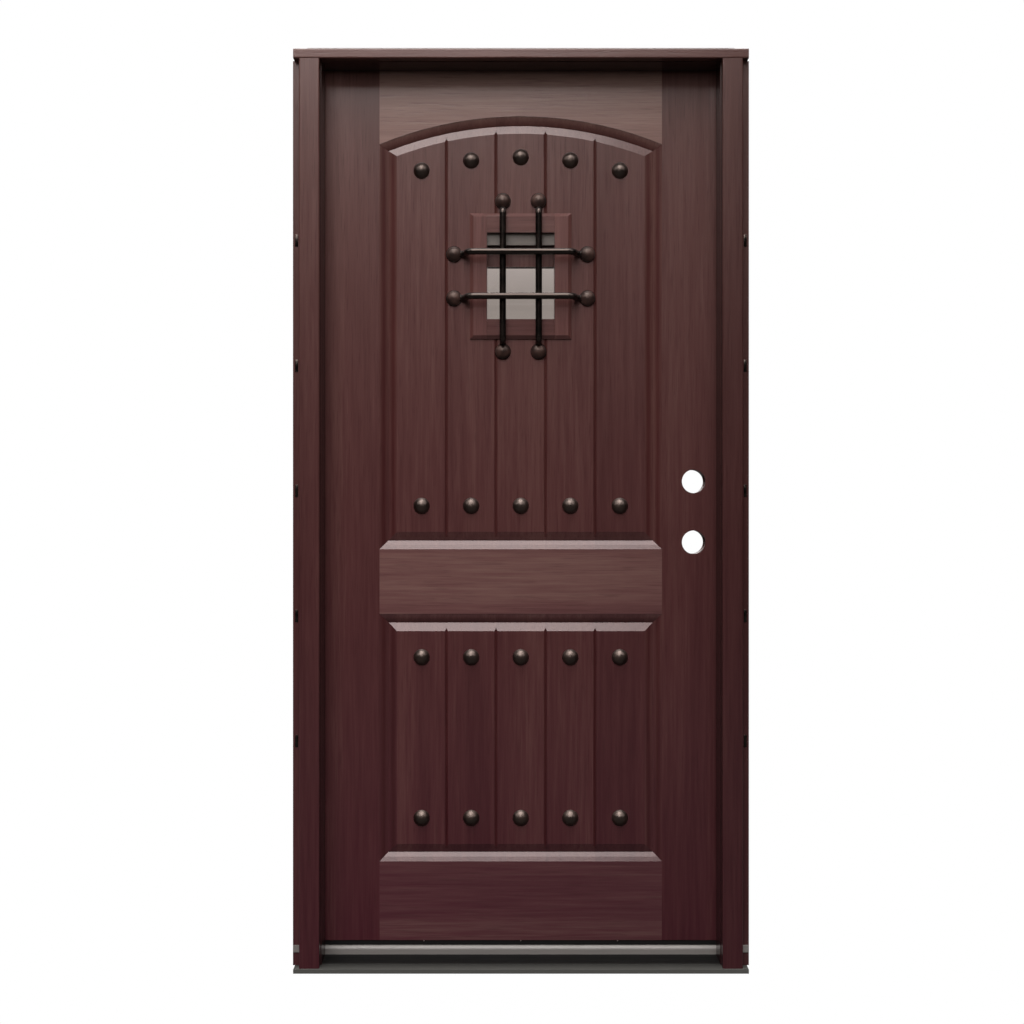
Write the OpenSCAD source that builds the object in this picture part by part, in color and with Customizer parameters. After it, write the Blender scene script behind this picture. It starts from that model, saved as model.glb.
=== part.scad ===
// Fiberglass entry door with an arched plank panel, iron clavos and a grilled speakeasy, hung in its frame.
// X runs along the wall, +Y into the house and +Z up. The origin is on the underside of the sill,
// at mid width, in the plane of the jambs' outer edge.

/* [Slab] */
// Width of the door slab
slab_w = 914.4; // [860:0.1:1100]
// Height of the door slab
slab_h = 2006.6; // [1960:0.1:2300]
// Thickness of the door slab
slab_t = 44.45; // [40:0.05:56]
// Thickness of each moulded skin
skin_t = 2.2; // [1.6:0.1:3]
// Glue line between a skin and what it covers
glue_gap = 0.1; // [0.05:0.05:0.3]
// Width of the hinge stile inside the slab
hinge_stile_w = 42; // [40:1:60]
// Share of the moulded rails' height that the rails inside the slab take
inner_rail_share = 0.52; // [0.3:0.01:0.8]

/* [Moulded panels] */
// Face width of the moulded stiles
stile_face = 133.2; // [125:0.1:160]
// Face height of the moulded bottom rail
bottom_face = 180.5; // [150:0.5:220]
// Height of the lower panel, sticking included
lower_panel_h = 568; // [480:1:600]
// Face height of the moulded lock rail
lock_face = 148.5; // [120:0.5:170]
// Face height of the moulded top rail over the arch's crown
top_face = 116.1; // [90:0.1:160]
// Radius of the arch along the outer edge of the sticking
arch_r = 850; // [700:1:1200]
// Width of the sticking that slopes down from stiles and rails
sticking_w = 20; // [15:0.5:26]
// Width of the flat valley at the foot of the sticking
valley_w = 0.5; // [0.5:0.5:5]
// Width of the bevel that rises from the valley to the planks
bevel_w = 19; // [12:0.5:24]
// Depth of the valley below the face
valley_d = 9.6; // [8:0.1:13]
// Depth of the planks below the face
field_d = 1.2; // [0.6:0.1:2]
// Number of planks across a panel
planks = 5; // [3:2:7]
// Width of a groove between planks
groove_w = 8; // [5:0.5:12]
// Depth of a groove between planks
groove_d = 3.2; // [2:0.1:4]

/* [Lock bores] */
// Distance from the slab's edge to the cross bores
backset = 60.3; // [58:0.1:62]
// Radius of a cross bore
cross_bore_r = 27; // [25:0.5:28]
// Height of the lockset bore above the slab's bottom
lockset_z = 913; // [860:1:960]
// Rise from the lockset bore to the deadbolt bore
deadbolt_rise = 139.7; // [120:0.1:160]
// Radius of a latch bore in the slab's edge
latch_bore_r = 12.7; // [11:0.1:13]
// Depth of a strike bore in the jamb
strike_bore_d = 16; // [10:0.5:17]

/* [Frame] */
// Depth of the jambs through the wall
jamb_depth = 115.9; // [110:0.1:170]
// Thickness of the jambs at their stop
jamb_t = 31.75; // [30:0.05:40]
// Depth of the rabbet that takes the slab
rabbet_in = 12.7; // [11:0.1:14]
// Depth of the head's rabbet over the top of the slab
head_rabbet_in = 17.7; // [12:0.1:22]
// Room for the weatherstrip between stop and slab
seal_room = 6.35; // [5:0.05:9]
// Gap between slab and jamb at each side
side_gap = 3.2; // [2.5:0.1:4]
// Gap between slab and head
top_gap = 3.2; // [2:0.1:4]
// Thickness of the casing
casing_t = 25; // [15:0.5:30]
// Face width of the side casing
casing_w = 45.5; // [38:0.5:60]
// Face height of the head casing
head_casing_h = 22; // [18:0.5:40]
// Edge round of the casing
casing_round = 3; // [1:0.5:6]
// Setback of the casing from the jamb's inner edge
casing_reveal = 1.5; // [0.5:0.5:6]
// Thickness of the fixing fins behind the casings
fin_t = 3; // [2:0.5:4]
// Reach of a fixing fin past the casing
fin_reach = 16.5; // [9:0.5:20]
// Setback of the head casing's ends from the fins' edges
head_inset = 3.5; // [0:0.5:6]
// Setback of the sill's ends from the fins' edges
sill_inset = 4.5; // [0:0.5:6]
// Height of the lowest fixing clip
clip_first_z = 513; // [400:0.5:600]
// Pitch of the fixing clips
clip_pitch = 280.5; // [200:0.5:300]
// Number of fixing clips at each side
clip_count = 5; // [3:1:5]
// Radius of a fixing hole
fixing_r = 1.6; // [1.5:0.1:3.5]

/* [Sill] */
// Height of the slab's bottom above the sill's underside
slab_z = 44; // [40:0.5:60]
// Clearance between the sweep and the sill cap
sweep_clear = 0.3; // [0.3:0.1:2]
// Height of the door sweep under the slab
sweep_h = 11.2; // [6:0.1:12]
// Reach of the sill in front of the casing
sill_reach = 6; // [3:0.5:30]
// Height of the sill's front nose
nose_h = 9; // [7:0.5:12]
// Height of the tread where it meets the cap
tread_back_z = 13; // [12:0.5:16]
// Thickness of the tread
tread_t = 2.5; // [1.5:0.1:4]
// Round of the cap's front edge
cap_round = 9; // [4:0.5:12]

/* [Hinges] */
// Height of a door hinge
hinge_h = 101.6; // [88:0.1:127]
// Width of a hinge plate
plate_w = 32; // [26:0.5:36]
// Thickness of a hinge plate
plate_t = 2.5; // [2:0.1:3.5]
// Radius of a hinge knuckle
knuckle_r = 6.4; // [5.5:0.1:8]
// Radius of a hinge pin
pin_r = 3.5; // [3:0.1:4.5]
// Running clearance round a hinge pin
pin_clear = 0.05; // [0.02:0.01:0.1]
// Distance from the slab's top to the upper hinge's middle
hinge_top_inset = 229; // [180:1:280]
// Distance from the slab's bottom to the lower hinge's middle
hinge_bottom_inset = 330; // [200:1:380]

/* [Clavos] */
// Radius of a clavo's head
clavo_r = 19; // [13:0.5:22]
// Height of a clavo's head
clavo_h = 13; // [6:0.5:13]
// Radius of a clavo's shank
clavo_shank_r = 3; // [2:0.5:4]
// Length of a clavo's shank
clavo_shank_l = 14; // [8:1:20]
// Distance of a straight clavo row from the sticking's outer edge
clavo_inset = 99.5; // [80:0.5:120]
// Distance of the arched clavo row from the sticking's outer edge
clavo_arch_inset = 93.5; // [80:0.5:120]

/* [Speakeasy] */
// Drop from the arch's crown to the opening's top
opening_drop = 268; // [230:1:300]
// Width of the opening
opening_w = 155; // [120:1:170]
// Height of the opening
opening_h = 198.5; // [170:0.5:220]
// Face width of the outer frame round the opening
surround_w = 39; // [30:0.5:44]
// Extra face height of the outer frame's rails
surround_rail_extra = 6; // [0:0.5:10]
// Thickness of the outer frame
surround_t = 9; // [6:0.5:14]
// Width of the outer frame's bevel
surround_bevel = 8; // [3:0.5:12]
// Wall of the sleeve through the slab
sleeve_t = 4; // [3:0.5:6]
// Height of the fixed strip across the top of the opening
valance_h = 27; // [20:0.5:34]
// Thickness of the strip
valance_t = 12; // [8:0.5:16]
// Setback of the strip behind the planks
valance_setback = 2; // [1:0.5:4]
// Face width of the inner trim
trim_w = 28; // [22:0.5:36]
// Thickness of the sash
sash_t = 20; // [16:0.5:22]
// Lap of the sash over the opening
sash_lap = 14; // [13:0.5:18]
// Height of the sash's deep top rail
sash_head_h = 84; // [76:0.5:100]
// Width of the sash's stiles and bottom rail
sash_rail_w = 11; // [9:0.5:12]
// Gap round the sash
sash_gap = 2.2; // [1.9:0.1:3]
// Thickness of the sash glass
glass_t = 4; // [3:0.5:6]
// Travel of the barrel bolt
bolt_travel = 14; // [10:0.5:16]
// Radius of the barrel bolt
bolt_r = 3; // [2:0.1:3.5]

/* [Grille] */
// Radius of a grille bar
bar_r = 7.5; // [5:0.5:9]
// Distance between the two uprights
upright_pitch = 82; // [60:1:100]
// Distance between the two crossbars
crossbar_pitch = 101; // [80:1:120]
// Distance from the outer frame to the end pads of an upright
upright_margin = 10.25; // [9:0.25:30]
// Distance from the outer frame to the end pads of a crossbar
crossbar_margin = 18.5; // [14:0.5:40]
// Height of the uprights' axis above the planks
upright_rise = 25; // [22:0.5:32]
// Radius of a bar's flattened end pad
pad_r = 18; // [15:0.5:20]
// Thickness of a bar's flattened end pad
pad_t = 4; // [3:0.5:6]
// Radius of a grille nail's head
nail_r = 15; // [10:0.5:16]

/* [Hidden] */
$fn = 48;
// Small overlap that keeps cuts clean
eps = 1;
// Planes through the wall
slab_y = jamb_depth - slab_t;
stop_y = slab_y - seal_room;
room_y = jamb_depth;
field_y = slab_y + field_d;
inner_field_y = room_y - field_d;
casing_y = -casing_t;
// Planes across the opening
rabbet_x = slab_w / 2 + side_gap;
stop_x = rabbet_x - rabbet_in;
jamb_x = stop_x + jamb_t;
casing_x = stop_x + casing_reveal;
fin_x = casing_x + casing_w + fin_reach;
sill_hw = fin_x - sill_inset;
head_casing_hw = fin_x - head_inset;
// Heights
rabbet_z = slab_z + slab_h + top_gap;
stop_z = rabbet_z - head_rabbet_in;
head_z = stop_z + jamb_t;
head_casing_z = stop_z + casing_reveal;
cap_z = slab_z - sweep_h - sweep_clear;
sweep_z = slab_z - sweep_h;
// Sill section
nose_y = casing_y - sill_reach;
cap_y = stop_y;
base_z = tread_back_z - tread_t;
nose_in_y = nose_y + tread_t;
function tread_z(y) = nose_h + (y - nose_y) / (cap_y - nose_y) * (tread_back_z - nose_h);
rib_pitch = 24;
rib_y = [for (i = [1 : 3]) cap_y - (i - 1 / 3) * rib_pitch];
rib_w = 4;
rib_h = 0.5;
cap_ease = 2;
cap_screw_xs = [for (i = [-1.5 : 1 : 1.5]) i * slab_w / 4.5];
cap_screw_y = (cap_y + jamb_depth) / 2;
cap_screw_r = 3;
cap_screw_head_r = 6;
cap_screw_l = cap_z - base_z * 0.25;
// Sweep
sweep_inset = 1.5;
sweep_carrier = 3;
sweep_fin_t = 2;
sweep_y0 = slab_y + sweep_inset;
sweep_y1 = room_y - sweep_inset;
sweep_screw_xs = [for (i = [-1 : 1]) i * slab_w * 0.243];
sweep_screw_r = 0.8;
sweep_screw_l = 10;
sweep_head_r = 1.4;
sweep_head_h = 1;
// Panel outlines, measured from the slab's bottom
panel_hw = slab_w / 2 - stile_face;
lower_z0 = bottom_face;
lower_z1 = lower_z0 + lower_panel_h;
arch_z0 = lower_z1 + lock_face;
arch_z1 = slab_h - top_face;
arch_cz = arch_z1 - arch_r;
field_inset = sticking_w + valley_w + bevel_w;
field_hw = panel_hw - field_inset;
plank_w = 2 * field_hw / planks;
skin_depth = valley_d + skin_t + 2;
// Stiles, rails and core inside the slab
lock_stile_margin = 25.2;
lock_stile_w = stile_face - lock_stile_margin;
top_rail_h = top_face * inner_rail_share;
bottom_rail_h = bottom_face * inner_rail_share;
rail_x0 = -slab_w / 2 + hinge_stile_w;
rail_l = slab_w - hinge_stile_w - lock_stile_w;
core_y = slab_y + skin_t + glue_gap;
core_t = slab_t - 2 * (skin_t + glue_gap);
// Sticking: a small quirk, then two flats to the valley. The bevel is one flat, with a quirk at each edge.
quirk = 0.8;
flats_meet = [0.5, 0.46];
sunk_profile = [
    [0, -eps], [0, quirk], [flats_meet[0] * sticking_w, flats_meet[1] * valley_d], [sticking_w, valley_d]];
raised_profile = [
    [field_inset, field_d], [field_inset, field_d + quirk / 2],
    [field_inset - bevel_w, valley_d - quirk], [field_inset - bevel_w, valley_d + eps]];
groove_half = groove_w / 2 * (field_d + groove_d) / groove_d;
groove_run = 0.6 * bevel_w;
// Hinges
hinge_x = -slab_w / 2 - side_gap / 2;
knuckle_clear = 0.3;
hinge_seat = knuckle_r + knuckle_clear;
hinge_y = room_y + hinge_seat;
hinge_knuckles = 5;
knuckle_gap = 0.4;
hinge_screw_r = 2.2;
hinge_screw_head_r = 4.4;
hinge_screw_l = (jamb_t - rabbet_in) * 0.84;
lower_hinge_z = slab_z + hinge_bottom_inset;
upper_hinge_z = slab_z + slab_h - hinge_top_inset;
middle_hinge_z = (lower_hinge_z + upper_hinge_z) / 2;
hinge_zs = [upper_hinge_z, middle_hinge_z, lower_hinge_z];
screw_fit = 0.1;
frame_screw_r = 2.5;
frame_screw_head_r = 5;
frame_screw_l = 80;
// Weatherstrip
kerf_w = 3;
kerf_d = 10;
kerf_edge = 0.8;
kerf_play = 0.5;
kerf_x = rabbet_x - kerf_w - kerf_edge;
seal_clear = 0.35;
seal_w = rabbet_in * 0.84;
pad_h = 24;
// Locks
bore_x = slab_w / 2 - backset;
bore_zs = [slab_z + lockset_z, slab_z + lockset_z + deadbolt_rise];
// Fixing clips
clip_x = (casing_x + casing_w + fin_x) / 2;
clip_size = [7.5, 2, 28];
clip_zs = [for (i = [0 : clip_count - 1]) clip_first_z + i * clip_pitch];
// Clavo rows, each a list of [x, z]
clavo_xs = [for (i = [0 : planks - 1]) (i - (planks - 1) / 2) * plank_w];
function arch_at(x, inset) = arch_cz + sqrt(pow(arch_r, 2) - x * x) - inset;
arched_clavos = concat(
    [for (x = clavo_xs) [x, slab_z + arch_at(x, clavo_arch_inset)]],
    [for (x = clavo_xs) [x, slab_z + arch_z0 + clavo_inset]]);
lower_rows = [lower_z0 + clavo_inset, lower_z1 - clavo_inset];
lower_clavos = [for (z = lower_rows) for (x = clavo_xs) [x, slab_z + z]];
// Speakeasy
opening_hw = opening_w / 2;
opening_top = slab_z + arch_z1 - opening_drop;
opening_bottom = opening_top - opening_h;
opening_mid = (opening_bottom + opening_top) / 2;
sleeve_fit = 0.2;
rail_h = surround_w + surround_rail_extra;
surround_hw = opening_hw + surround_w;
surround_z0 = opening_bottom - rail_h;
surround_z1 = opening_top + rail_h;
rail_joint = 0.5;
sash_hw = opening_hw + sash_lap;
sash_z0 = opening_bottom - sash_lap;
sash_z1 = opening_top + sash_lap;
sash_seat = 0.3;
sash_y = inner_field_y + sash_seat;
sash_face_y = sash_y + sash_t;
glass_hw = sash_hw - sash_rail_w;
glass_z0 = sash_z0 + sash_rail_w;
glass_z1 = sash_z1 - sash_head_h;
glass_lap = 5;
glass_y = sash_y + sash_t * 0.4;
glass_fit = 0.3;
bead_t = 6;
trim_in = sash_hw + sash_gap;
trim_z0 = sash_z0 - sash_gap;
trim_z1 = sash_z1 + sash_gap;
trim_bevel = 4;
// Sash hinges
sash_hinge_h = 36;
sash_plate_w = 12;
sash_plate_t = 1.2;
sash_knuckle_r = 3.2;
sash_pin_r = 1.6;
sash_hinge_seat = sash_knuckle_r + knuckle_clear;
sash_hinge_x = -sash_hw - sash_gap / 2;
sash_hinge_y = sash_face_y + sash_hinge_seat;
sash_hinge_inset = 42;
sash_hinge_zs = [sash_z0 + sash_hinge_inset, sash_z1 - sash_hinge_inset];
// Barrel bolt
guide_w = 14;
guide_t = 12;
guide_h = 12;
barrel_base_t = 2;
bolt_fit = 0.1;
bolt_y = sash_face_y + barrel_base_t + guide_t / 2;
barrel_edge = 2;
guide_room = 16;
barrel_z1 = sash_z1 - barrel_edge;
barrel_l = 2 * guide_h + bolt_travel + guide_room;
barrel_z0 = barrel_z1 - barrel_l;
bolt_tip = 1;
bolt_knob_r = 3.5;
bolt_knob_l = 13;
bolt_knob_z = barrel_z0 + guide_h + bolt_knob_r + bolt_tip;
keeper_h = 9;
keeper_z = trim_z1 + barrel_edge;
// Grille
cope_d = 1;
crossbar_rise = upright_rise + 2 * bar_r - cope_d;
bar_foot = 4;
pad_neck = 0.65 * pad_r;
cope_fit = 0.1;
grille_z = opening_mid;
upright_l = surround_z1 - surround_z0 + 2 * (upright_margin + pad_r);
crossbar_l = 2 * (surround_hw + crossbar_margin + pad_r);
upright_xs = [-upright_pitch / 2, upright_pitch / 2];
crossbar_zs = [grille_z + crossbar_pitch / 2, grille_z - crossbar_pitch / 2];
nail_h = 9;
nail_shank_r = 2.4;
nail_shank_l = 18;
pad_spots = concat(
    [for (x = upright_xs) for (s = [-1, 1]) [x, grille_z + s * upright_l / 2]],
    [for (z = crossbar_zs) for (s = [-1, 1]) [s * crossbar_l / 2, z]]);
// Colours
brown = [0.30, 0.19, 0.18];
brown_light = [0.37, 0.26, 0.25];
iron = [0.07, 0.07, 0.07];
silver = [0.62, 0.60, 0.58];
bronze = [0.20, 0.19, 0.18];
steel = [0.55, 0.53, 0.50];
vinyl = [0.16, 0.13, 0.12];
timber = [0.72, 0.58, 0.42];
foam = [0.90, 0.85, 0.65];

function reversed(list) = [for (i = [len(list) - 1 : -1 : 0]) list[i]];
function arc(c, r, a0, a1, n = 8) =
    [for (i = [0 : n]) [c[0] + r * cos(a0 + (a1 - a0) * i / n), c[1] + r * sin(a0 + (a1 - a0) * i / n)]];

// Extrudes a YZ section along X, centred
module along_x(length) translate([-length / 2, 0, 0]) rotate([90, 0, 90]) linear_extrude(length) children();

// Points a piece made along +Z towards +Y
module facing_in() rotate([-90, 0, 0]) children();

// Mirrors a piece to the strike side
module strike_side() mirror([1, 0, 0]) children();

// Countersunk screw whose head is flush with z = 0 and whose shank runs down
module flush_screw(r, head_r, length, fit = 0) {
    translate([0, 0, -length - fit]) cylinder(h = length + fit, r = r + fit);
    translate([0, 0, -(head_r - r)]) cylinder(h = head_r - r, r1 = r + fit, r2 = head_r + fit);
}

// Sill

module sill_outline() {
    intersection() {
        children();
        union() {
            translate([-sill_hw, nose_y - eps, -eps]) cube([2 * sill_hw, -nose_y + eps, cap_z + 2 * eps]);
            translate([-jamb_x, -eps, -eps]) cube([2 * jamb_x, jamb_depth + 2 * eps, cap_z + 2 * eps]);
        }
    }
}

module sill_base() color(vinyl) difference() {
    sill_outline() along_x(2 * sill_hw) polygon([
        [nose_in_y, 0], [jamb_depth, 0], [jamb_depth, base_z], [cap_y, base_z],
        [nose_in_y, nose_h - tread_t]]);
    cap_screws(screw_fit);
}

module sill_tread() color(bronze) {
    sill_outline() along_x(2 * sill_hw) polygon([
        [nose_y, 0], [nose_y, nose_h], [cap_y, tread_back_z], [cap_y, base_z],
        [nose_in_y, nose_h - tread_t], [nose_in_y, 0]]);
    along_x(2 * stop_x - 2 * eps) for (y = rib_y) polygon([
        [y - rib_w / 2, tread_z(y - rib_w / 2) - tread_t / 2], [y - rib_w / 2, tread_z(y - rib_w / 2)],
        [y - rib_w / 4, tread_z(y) + rib_h], [y + rib_w / 4, tread_z(y) + rib_h],
        [y + rib_w / 2, tread_z(y + rib_w / 2)], [y + rib_w / 2, tread_z(y + rib_w / 2) - tread_t / 2]]);
}

module cap_screws(fit) for (x = cap_screw_xs) translate([x, cap_screw_y, cap_z])
    flush_screw(cap_screw_r, cap_screw_head_r, cap_screw_l, fit);

module sill_cap() color(silver) difference() {
    along_x(2 * jamb_x) polygon(concat(
        [[cap_y, base_z]],
        arc([cap_y + cap_round, cap_z - cap_round], cap_round, 180, 90),
        [[jamb_depth - cap_ease, cap_z], [jamb_depth, cap_z - cap_ease], [jamb_depth, base_z]]));
    cap_screws(screw_fit);
}

module sill_cap_screws() color(steel) cap_screws(0);

// What the jambs and casings are scribed over
module sill_scribe() along_x(2 * fin_x + 2 * eps) polygon([
    [nose_y - eps, -eps], [nose_y - eps, nose_h], [nose_y, nose_h], [cap_y, tread_back_z], [cap_y, cap_z],
    [jamb_depth + eps, cap_z], [jamb_depth + eps, -eps]]);

// Jambs

module head_section() polygon([
    [0, stop_z], [stop_y, stop_z], [stop_y, rabbet_z], [jamb_depth, rabbet_z],
    [jamb_depth, head_z], [0, head_z]]);

// What the side jambs are cut to under the head
module head_scribe() along_x(2 * jamb_x + 2 * eps) polygon([
    [-eps, stop_z], [stop_y, stop_z], [stop_y, rabbet_z], [jamb_depth + eps, rabbet_z],
    [jamb_depth + eps, head_z + eps], [-eps, head_z + eps]]);

module frame_screw_set(fit) for (s = [-1, 1]) for (y = [stop_y * 0.3, stop_y * 0.8])
    translate([s * (rabbet_x + jamb_x) / 2, y, head_z])
        flush_screw(frame_screw_r, frame_screw_head_r, frame_screw_l, fit);

// A side jamb on the hinge side, with its stop, rabbet and weatherstrip kerf
module side_jamb() difference() {
    linear_extrude(head_z) polygon([
        [-jamb_x, 0], [-stop_x, 0], [-stop_x, stop_y], [-kerf_x, stop_y], [-kerf_x, stop_y - kerf_d],
        [-kerf_x - kerf_w, stop_y - kerf_d], [-kerf_x - kerf_w, stop_y], [-rabbet_x, stop_y],
        [-rabbet_x, jamb_depth], [-jamb_x, jamb_depth]]);
    head_scribe();
    sill_scribe();
    frame_screw_set(screw_fit);
}

module hinge_jamb() color(brown) difference() {
    side_jamb();
    at_hinges() hinge_mortise(0);
    at_hinges() hinge_screw_set(0, screw_fit);
}

module strike_jamb() color(brown) difference() {
    strike_side() side_jamb();
    for (z = bore_zs) translate([rabbet_x - eps, slab_y + slab_t / 2, z]) rotate([0, 90, 0])
        cylinder(h = strike_bore_d + eps, r = latch_bore_r);
}

module head_jamb() color(brown_light) difference() {
    along_x(2 * jamb_x) head_section();
    translate([-rabbet_x, stop_y - kerf_d, rabbet_z - kerf_w - kerf_edge])
        cube([2 * rabbet_x, kerf_d + eps, kerf_w]);
    frame_screw_set(screw_fit);
}

module frame_screws() color(steel) frame_screw_set(0);

// Casings and fixing fins

module casing_section(w, t) polygon(concat(
    [[0, 0], [w, 0]],
    arc([w - casing_round, -t + casing_round], casing_round, 0, -90),
    arc([casing_round, -t + casing_round], casing_round, -90, -180)));

module side_casing() difference() {
    translate([-casing_x - casing_w, 0, 0]) linear_extrude(head_casing_z) casing_section(casing_w, casing_t);
    sill_scribe();
    translate([-fin_x, -fin_t, -eps]) cube([fin_x - jamb_x, fin_t + eps, head_casing_z + 2 * eps]);
}

module hinge_side_casing() color(brown) side_casing();

module strike_side_casing() color(brown) strike_side() side_casing();

module head_casing() color(brown_light)
    translate([0, 0, head_casing_z]) along_x(2 * head_casing_hw) polygon(concat(
        [[0, 0], [0, head_casing_h]],
        arc([casing_y + casing_round, head_casing_h - casing_round], casing_round, 90, 180),
        arc([casing_y + casing_round, casing_round], casing_round, 180, 270)));

module fixing_holes() for (z = clip_zs) translate([-clip_x, -fin_t - clip_size[1] - eps, z])
    facing_in() cylinder(h = fin_t + clip_size[1] + 2 * eps, r = fixing_r);

module side_fin() difference() {
    translate([-fin_x, -fin_t, 0]) cube([fin_x - jamb_x, fin_t, head_casing_z]);
    sill_scribe();
    fixing_holes();
}

module hinge_side_fin() color(bronze) side_fin();

module strike_side_fin() color(bronze) strike_side() side_fin();

module side_clips() difference() {
    for (z = clip_zs) translate([-clip_x - clip_size[0] / 2, -fin_t - clip_size[1], z - clip_size[2] / 2])
        cube(clip_size);
    fixing_holes();
}

module fixing_clips() color(iron) {
    side_clips();
    strike_side() side_clips();
}

// Weatherstrips: a barb in the kerf and a soft bulb in front of the slab.
// The section starts at the rabbet's corner.

module seal_section() {
    bulb_d = seal_room - seal_clear;
    barb0 = kerf_edge + kerf_play;
    barb1 = kerf_edge + kerf_w - kerf_play;
    polygon([
        [barb0, -kerf_d + eps], [barb1, -kerf_d + eps], [barb1, glue_gap], [seal_w, glue_gap],
        [seal_w, bulb_d * 0.45],
        [seal_w * 0.75, bulb_d], [seal_w * 0.22, bulb_d], [kerf_edge, bulb_d * 0.7], [kerf_edge, glue_gap],
        [barb0, glue_gap]]);
}

module side_seal() translate([-rabbet_x, stop_y, cap_z + pad_h + seal_clear])
    linear_extrude(stop_z - cap_z - pad_h - seal_clear) seal_section();

module hinge_weatherstrip() color(vinyl) side_seal();

module strike_weatherstrip() color(vinyl) strike_side() side_seal();

module head_weatherstrip() color(vinyl) translate([0, stop_y, rabbet_z]) along_x(2 * (rabbet_x - kerf_w))
    rotate([0, 0, -90]) seal_section();

module corner_pad() translate([-rabbet_x + seal_clear, stop_y, cap_z]) linear_extrude(pad_h) polygon([
    [0, 0], [seal_w, 0], [seal_w, seal_room * 0.3], [seal_w * 0.3, seal_room - seal_clear],
    [0, seal_room - seal_clear]]);

module corner_pads() color(vinyl) {
    corner_pad();
    strike_side() corner_pad();
}

// Hinges. Each is made round its own axis: the jamb is towards -X (side 0), the slab towards +X (side 1).

module to_side(side) mirror([side == 0 ? 1 : 0, 0, 0]) children();

module hinge_plate(h, w, t, knuckle, pin, gap, seat, side) {
    pitch = h / hinge_knuckles;
    difference() {
        union() {
            to_side(side) translate([gap / 2, -seat - w, -h / 2]) cube([t, w, h]);
            for (k = [side : 2 : hinge_knuckles - 1])
                translate([0, 0, -h / 2 + k * pitch + knuckle_gap / 2]) {
                cylinder(h = pitch - knuckle_gap, r = knuckle);
                to_side(side) translate([gap / 2, -seat - eps, 0]) cube([t, seat + eps, pitch - knuckle_gap]);
            }
        }
        translate([0, 0, -h / 2 - eps]) cylinder(h = h + 2 * eps, r = pin + pin_clear);
    }
}

module round_pin(h, r, head_r) {
    head_h = head_r / 2;
    translate([0, 0, -h / 2]) cylinder(h = h, r = r);
    translate([0, 0, h / 2]) cylinder(h = head_h, r1 = head_r, r2 = head_r * 0.7);
    translate([0, 0, -h / 2 - head_h]) cylinder(h = head_h, r1 = head_r * 0.7, r2 = head_r);
}

module door_hinge_plate(side) difference() {
    hinge_plate(hinge_h, plate_w, plate_t, knuckle_r, pin_r, side_gap, hinge_seat, side);
    hinge_screw_set(side, screw_fit);
}

module hinge_mortise(side) to_side(side)
    translate([side_gap / 2, -hinge_seat - plate_w - screw_fit, -hinge_h / 2 - screw_fit])
        cube([plate_t, plate_w + screw_fit + eps, hinge_h + 2 * screw_fit]);

module hinge_screw_set(side, fit) to_side(side) for (s = [-1, 1]) for (place = [[0.3, 0.4], [0.68, 0.16]])
    translate([side_gap / 2, -hinge_seat - plate_w * place[0], s * hinge_h * place[1]]) rotate([0, -90, 0])
        flush_screw(hinge_screw_r, hinge_screw_head_r, hinge_screw_l, fit);

module at_hinges() for (z = hinge_zs) translate([hinge_x, hinge_y, z]) children();

module jamb_plate(z) color(steel) translate([hinge_x, hinge_y, z]) door_hinge_plate(0);
module door_plate(z) color(steel) translate([hinge_x, hinge_y, z]) door_hinge_plate(1);
module door_pin(z) color(steel) translate([hinge_x, hinge_y, z]) round_pin(hinge_h, pin_r, knuckle_r * 0.9);
module upper_hinge_jamb_plate() jamb_plate(upper_hinge_z);
module middle_hinge_jamb_plate() jamb_plate(middle_hinge_z);
module lower_hinge_jamb_plate() jamb_plate(lower_hinge_z);
module upper_hinge_door_plate() door_plate(upper_hinge_z);
module middle_hinge_door_plate() door_plate(middle_hinge_z);
module lower_hinge_door_plate() door_plate(lower_hinge_z);
module upper_hinge_pin() door_pin(upper_hinge_z);
module middle_hinge_pin() door_pin(middle_hinge_z);
module lower_hinge_pin() door_pin(lower_hinge_z);

module jamb_hinge_screws() color(steel) at_hinges() hinge_screw_set(0, 0);

module door_hinge_screws() color(steel) at_hinges() hinge_screw_set(1, 0);

// Moulded faces. Depth runs along +Y from the face at y = 0, heights from the slab's bottom.

module upright_slopes(hw, profile, z0, z1) translate([0, 0, z0]) linear_extrude(z1 - z0) polygon(concat(
    [for (p = profile) [-hw + p[0], p[1]]],
    [for (p = reversed(profile)) [hw - p[0], p[1]]]));

module level_slopes(z0, z1, profile, hw) along_x(2 * hw) polygon(concat(
    [for (p = profile) [p[1], z0 + p[0]]],
    [for (p = reversed(profile)) [p[1], z1 - p[0]]]));

module arch_slopes(profile) translate([0, 0, arch_cz]) facing_in() rotate_extrude() polygon(concat(
    [[0, profile[0][1]]],
    [for (p = profile) [arch_r - p[0], p[1]]],
    [[0, profile[len(profile) - 1][1]]]));

module square_panel(profile) intersection() {
    upright_slopes(panel_hw, profile, lower_z0 - eps, lower_z1 + eps);
    level_slopes(lower_z0, lower_z1, profile, panel_hw + eps);
}

module arched_panel(profile) intersection() {
    upright_slopes(panel_hw, profile, arch_z0 - eps, arch_z1 + eps);
    level_slopes(arch_z0, arch_z1 + field_inset + eps, profile, panel_hw + eps);
    arch_slopes(profile);
}

module plank_groove(x, z0, z1) translate([x, 0, z0]) linear_extrude(z1 - z0)
    polygon([[-groove_half, 0], [groove_half, 0], [0, field_d + groove_d]]);

module plank_grooves() for (i = [1 : planks - 1]) {
    x = -field_hw + i * plank_w;
    plank_groove(x, lower_z0 + field_inset - groove_run, lower_z1 - field_inset + groove_run);
    plank_groove(x, arch_z0 + field_inset - groove_run,
        arch_cz + sqrt(pow(arch_r - field_inset + groove_run, 2) - x * x));
}

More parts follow.
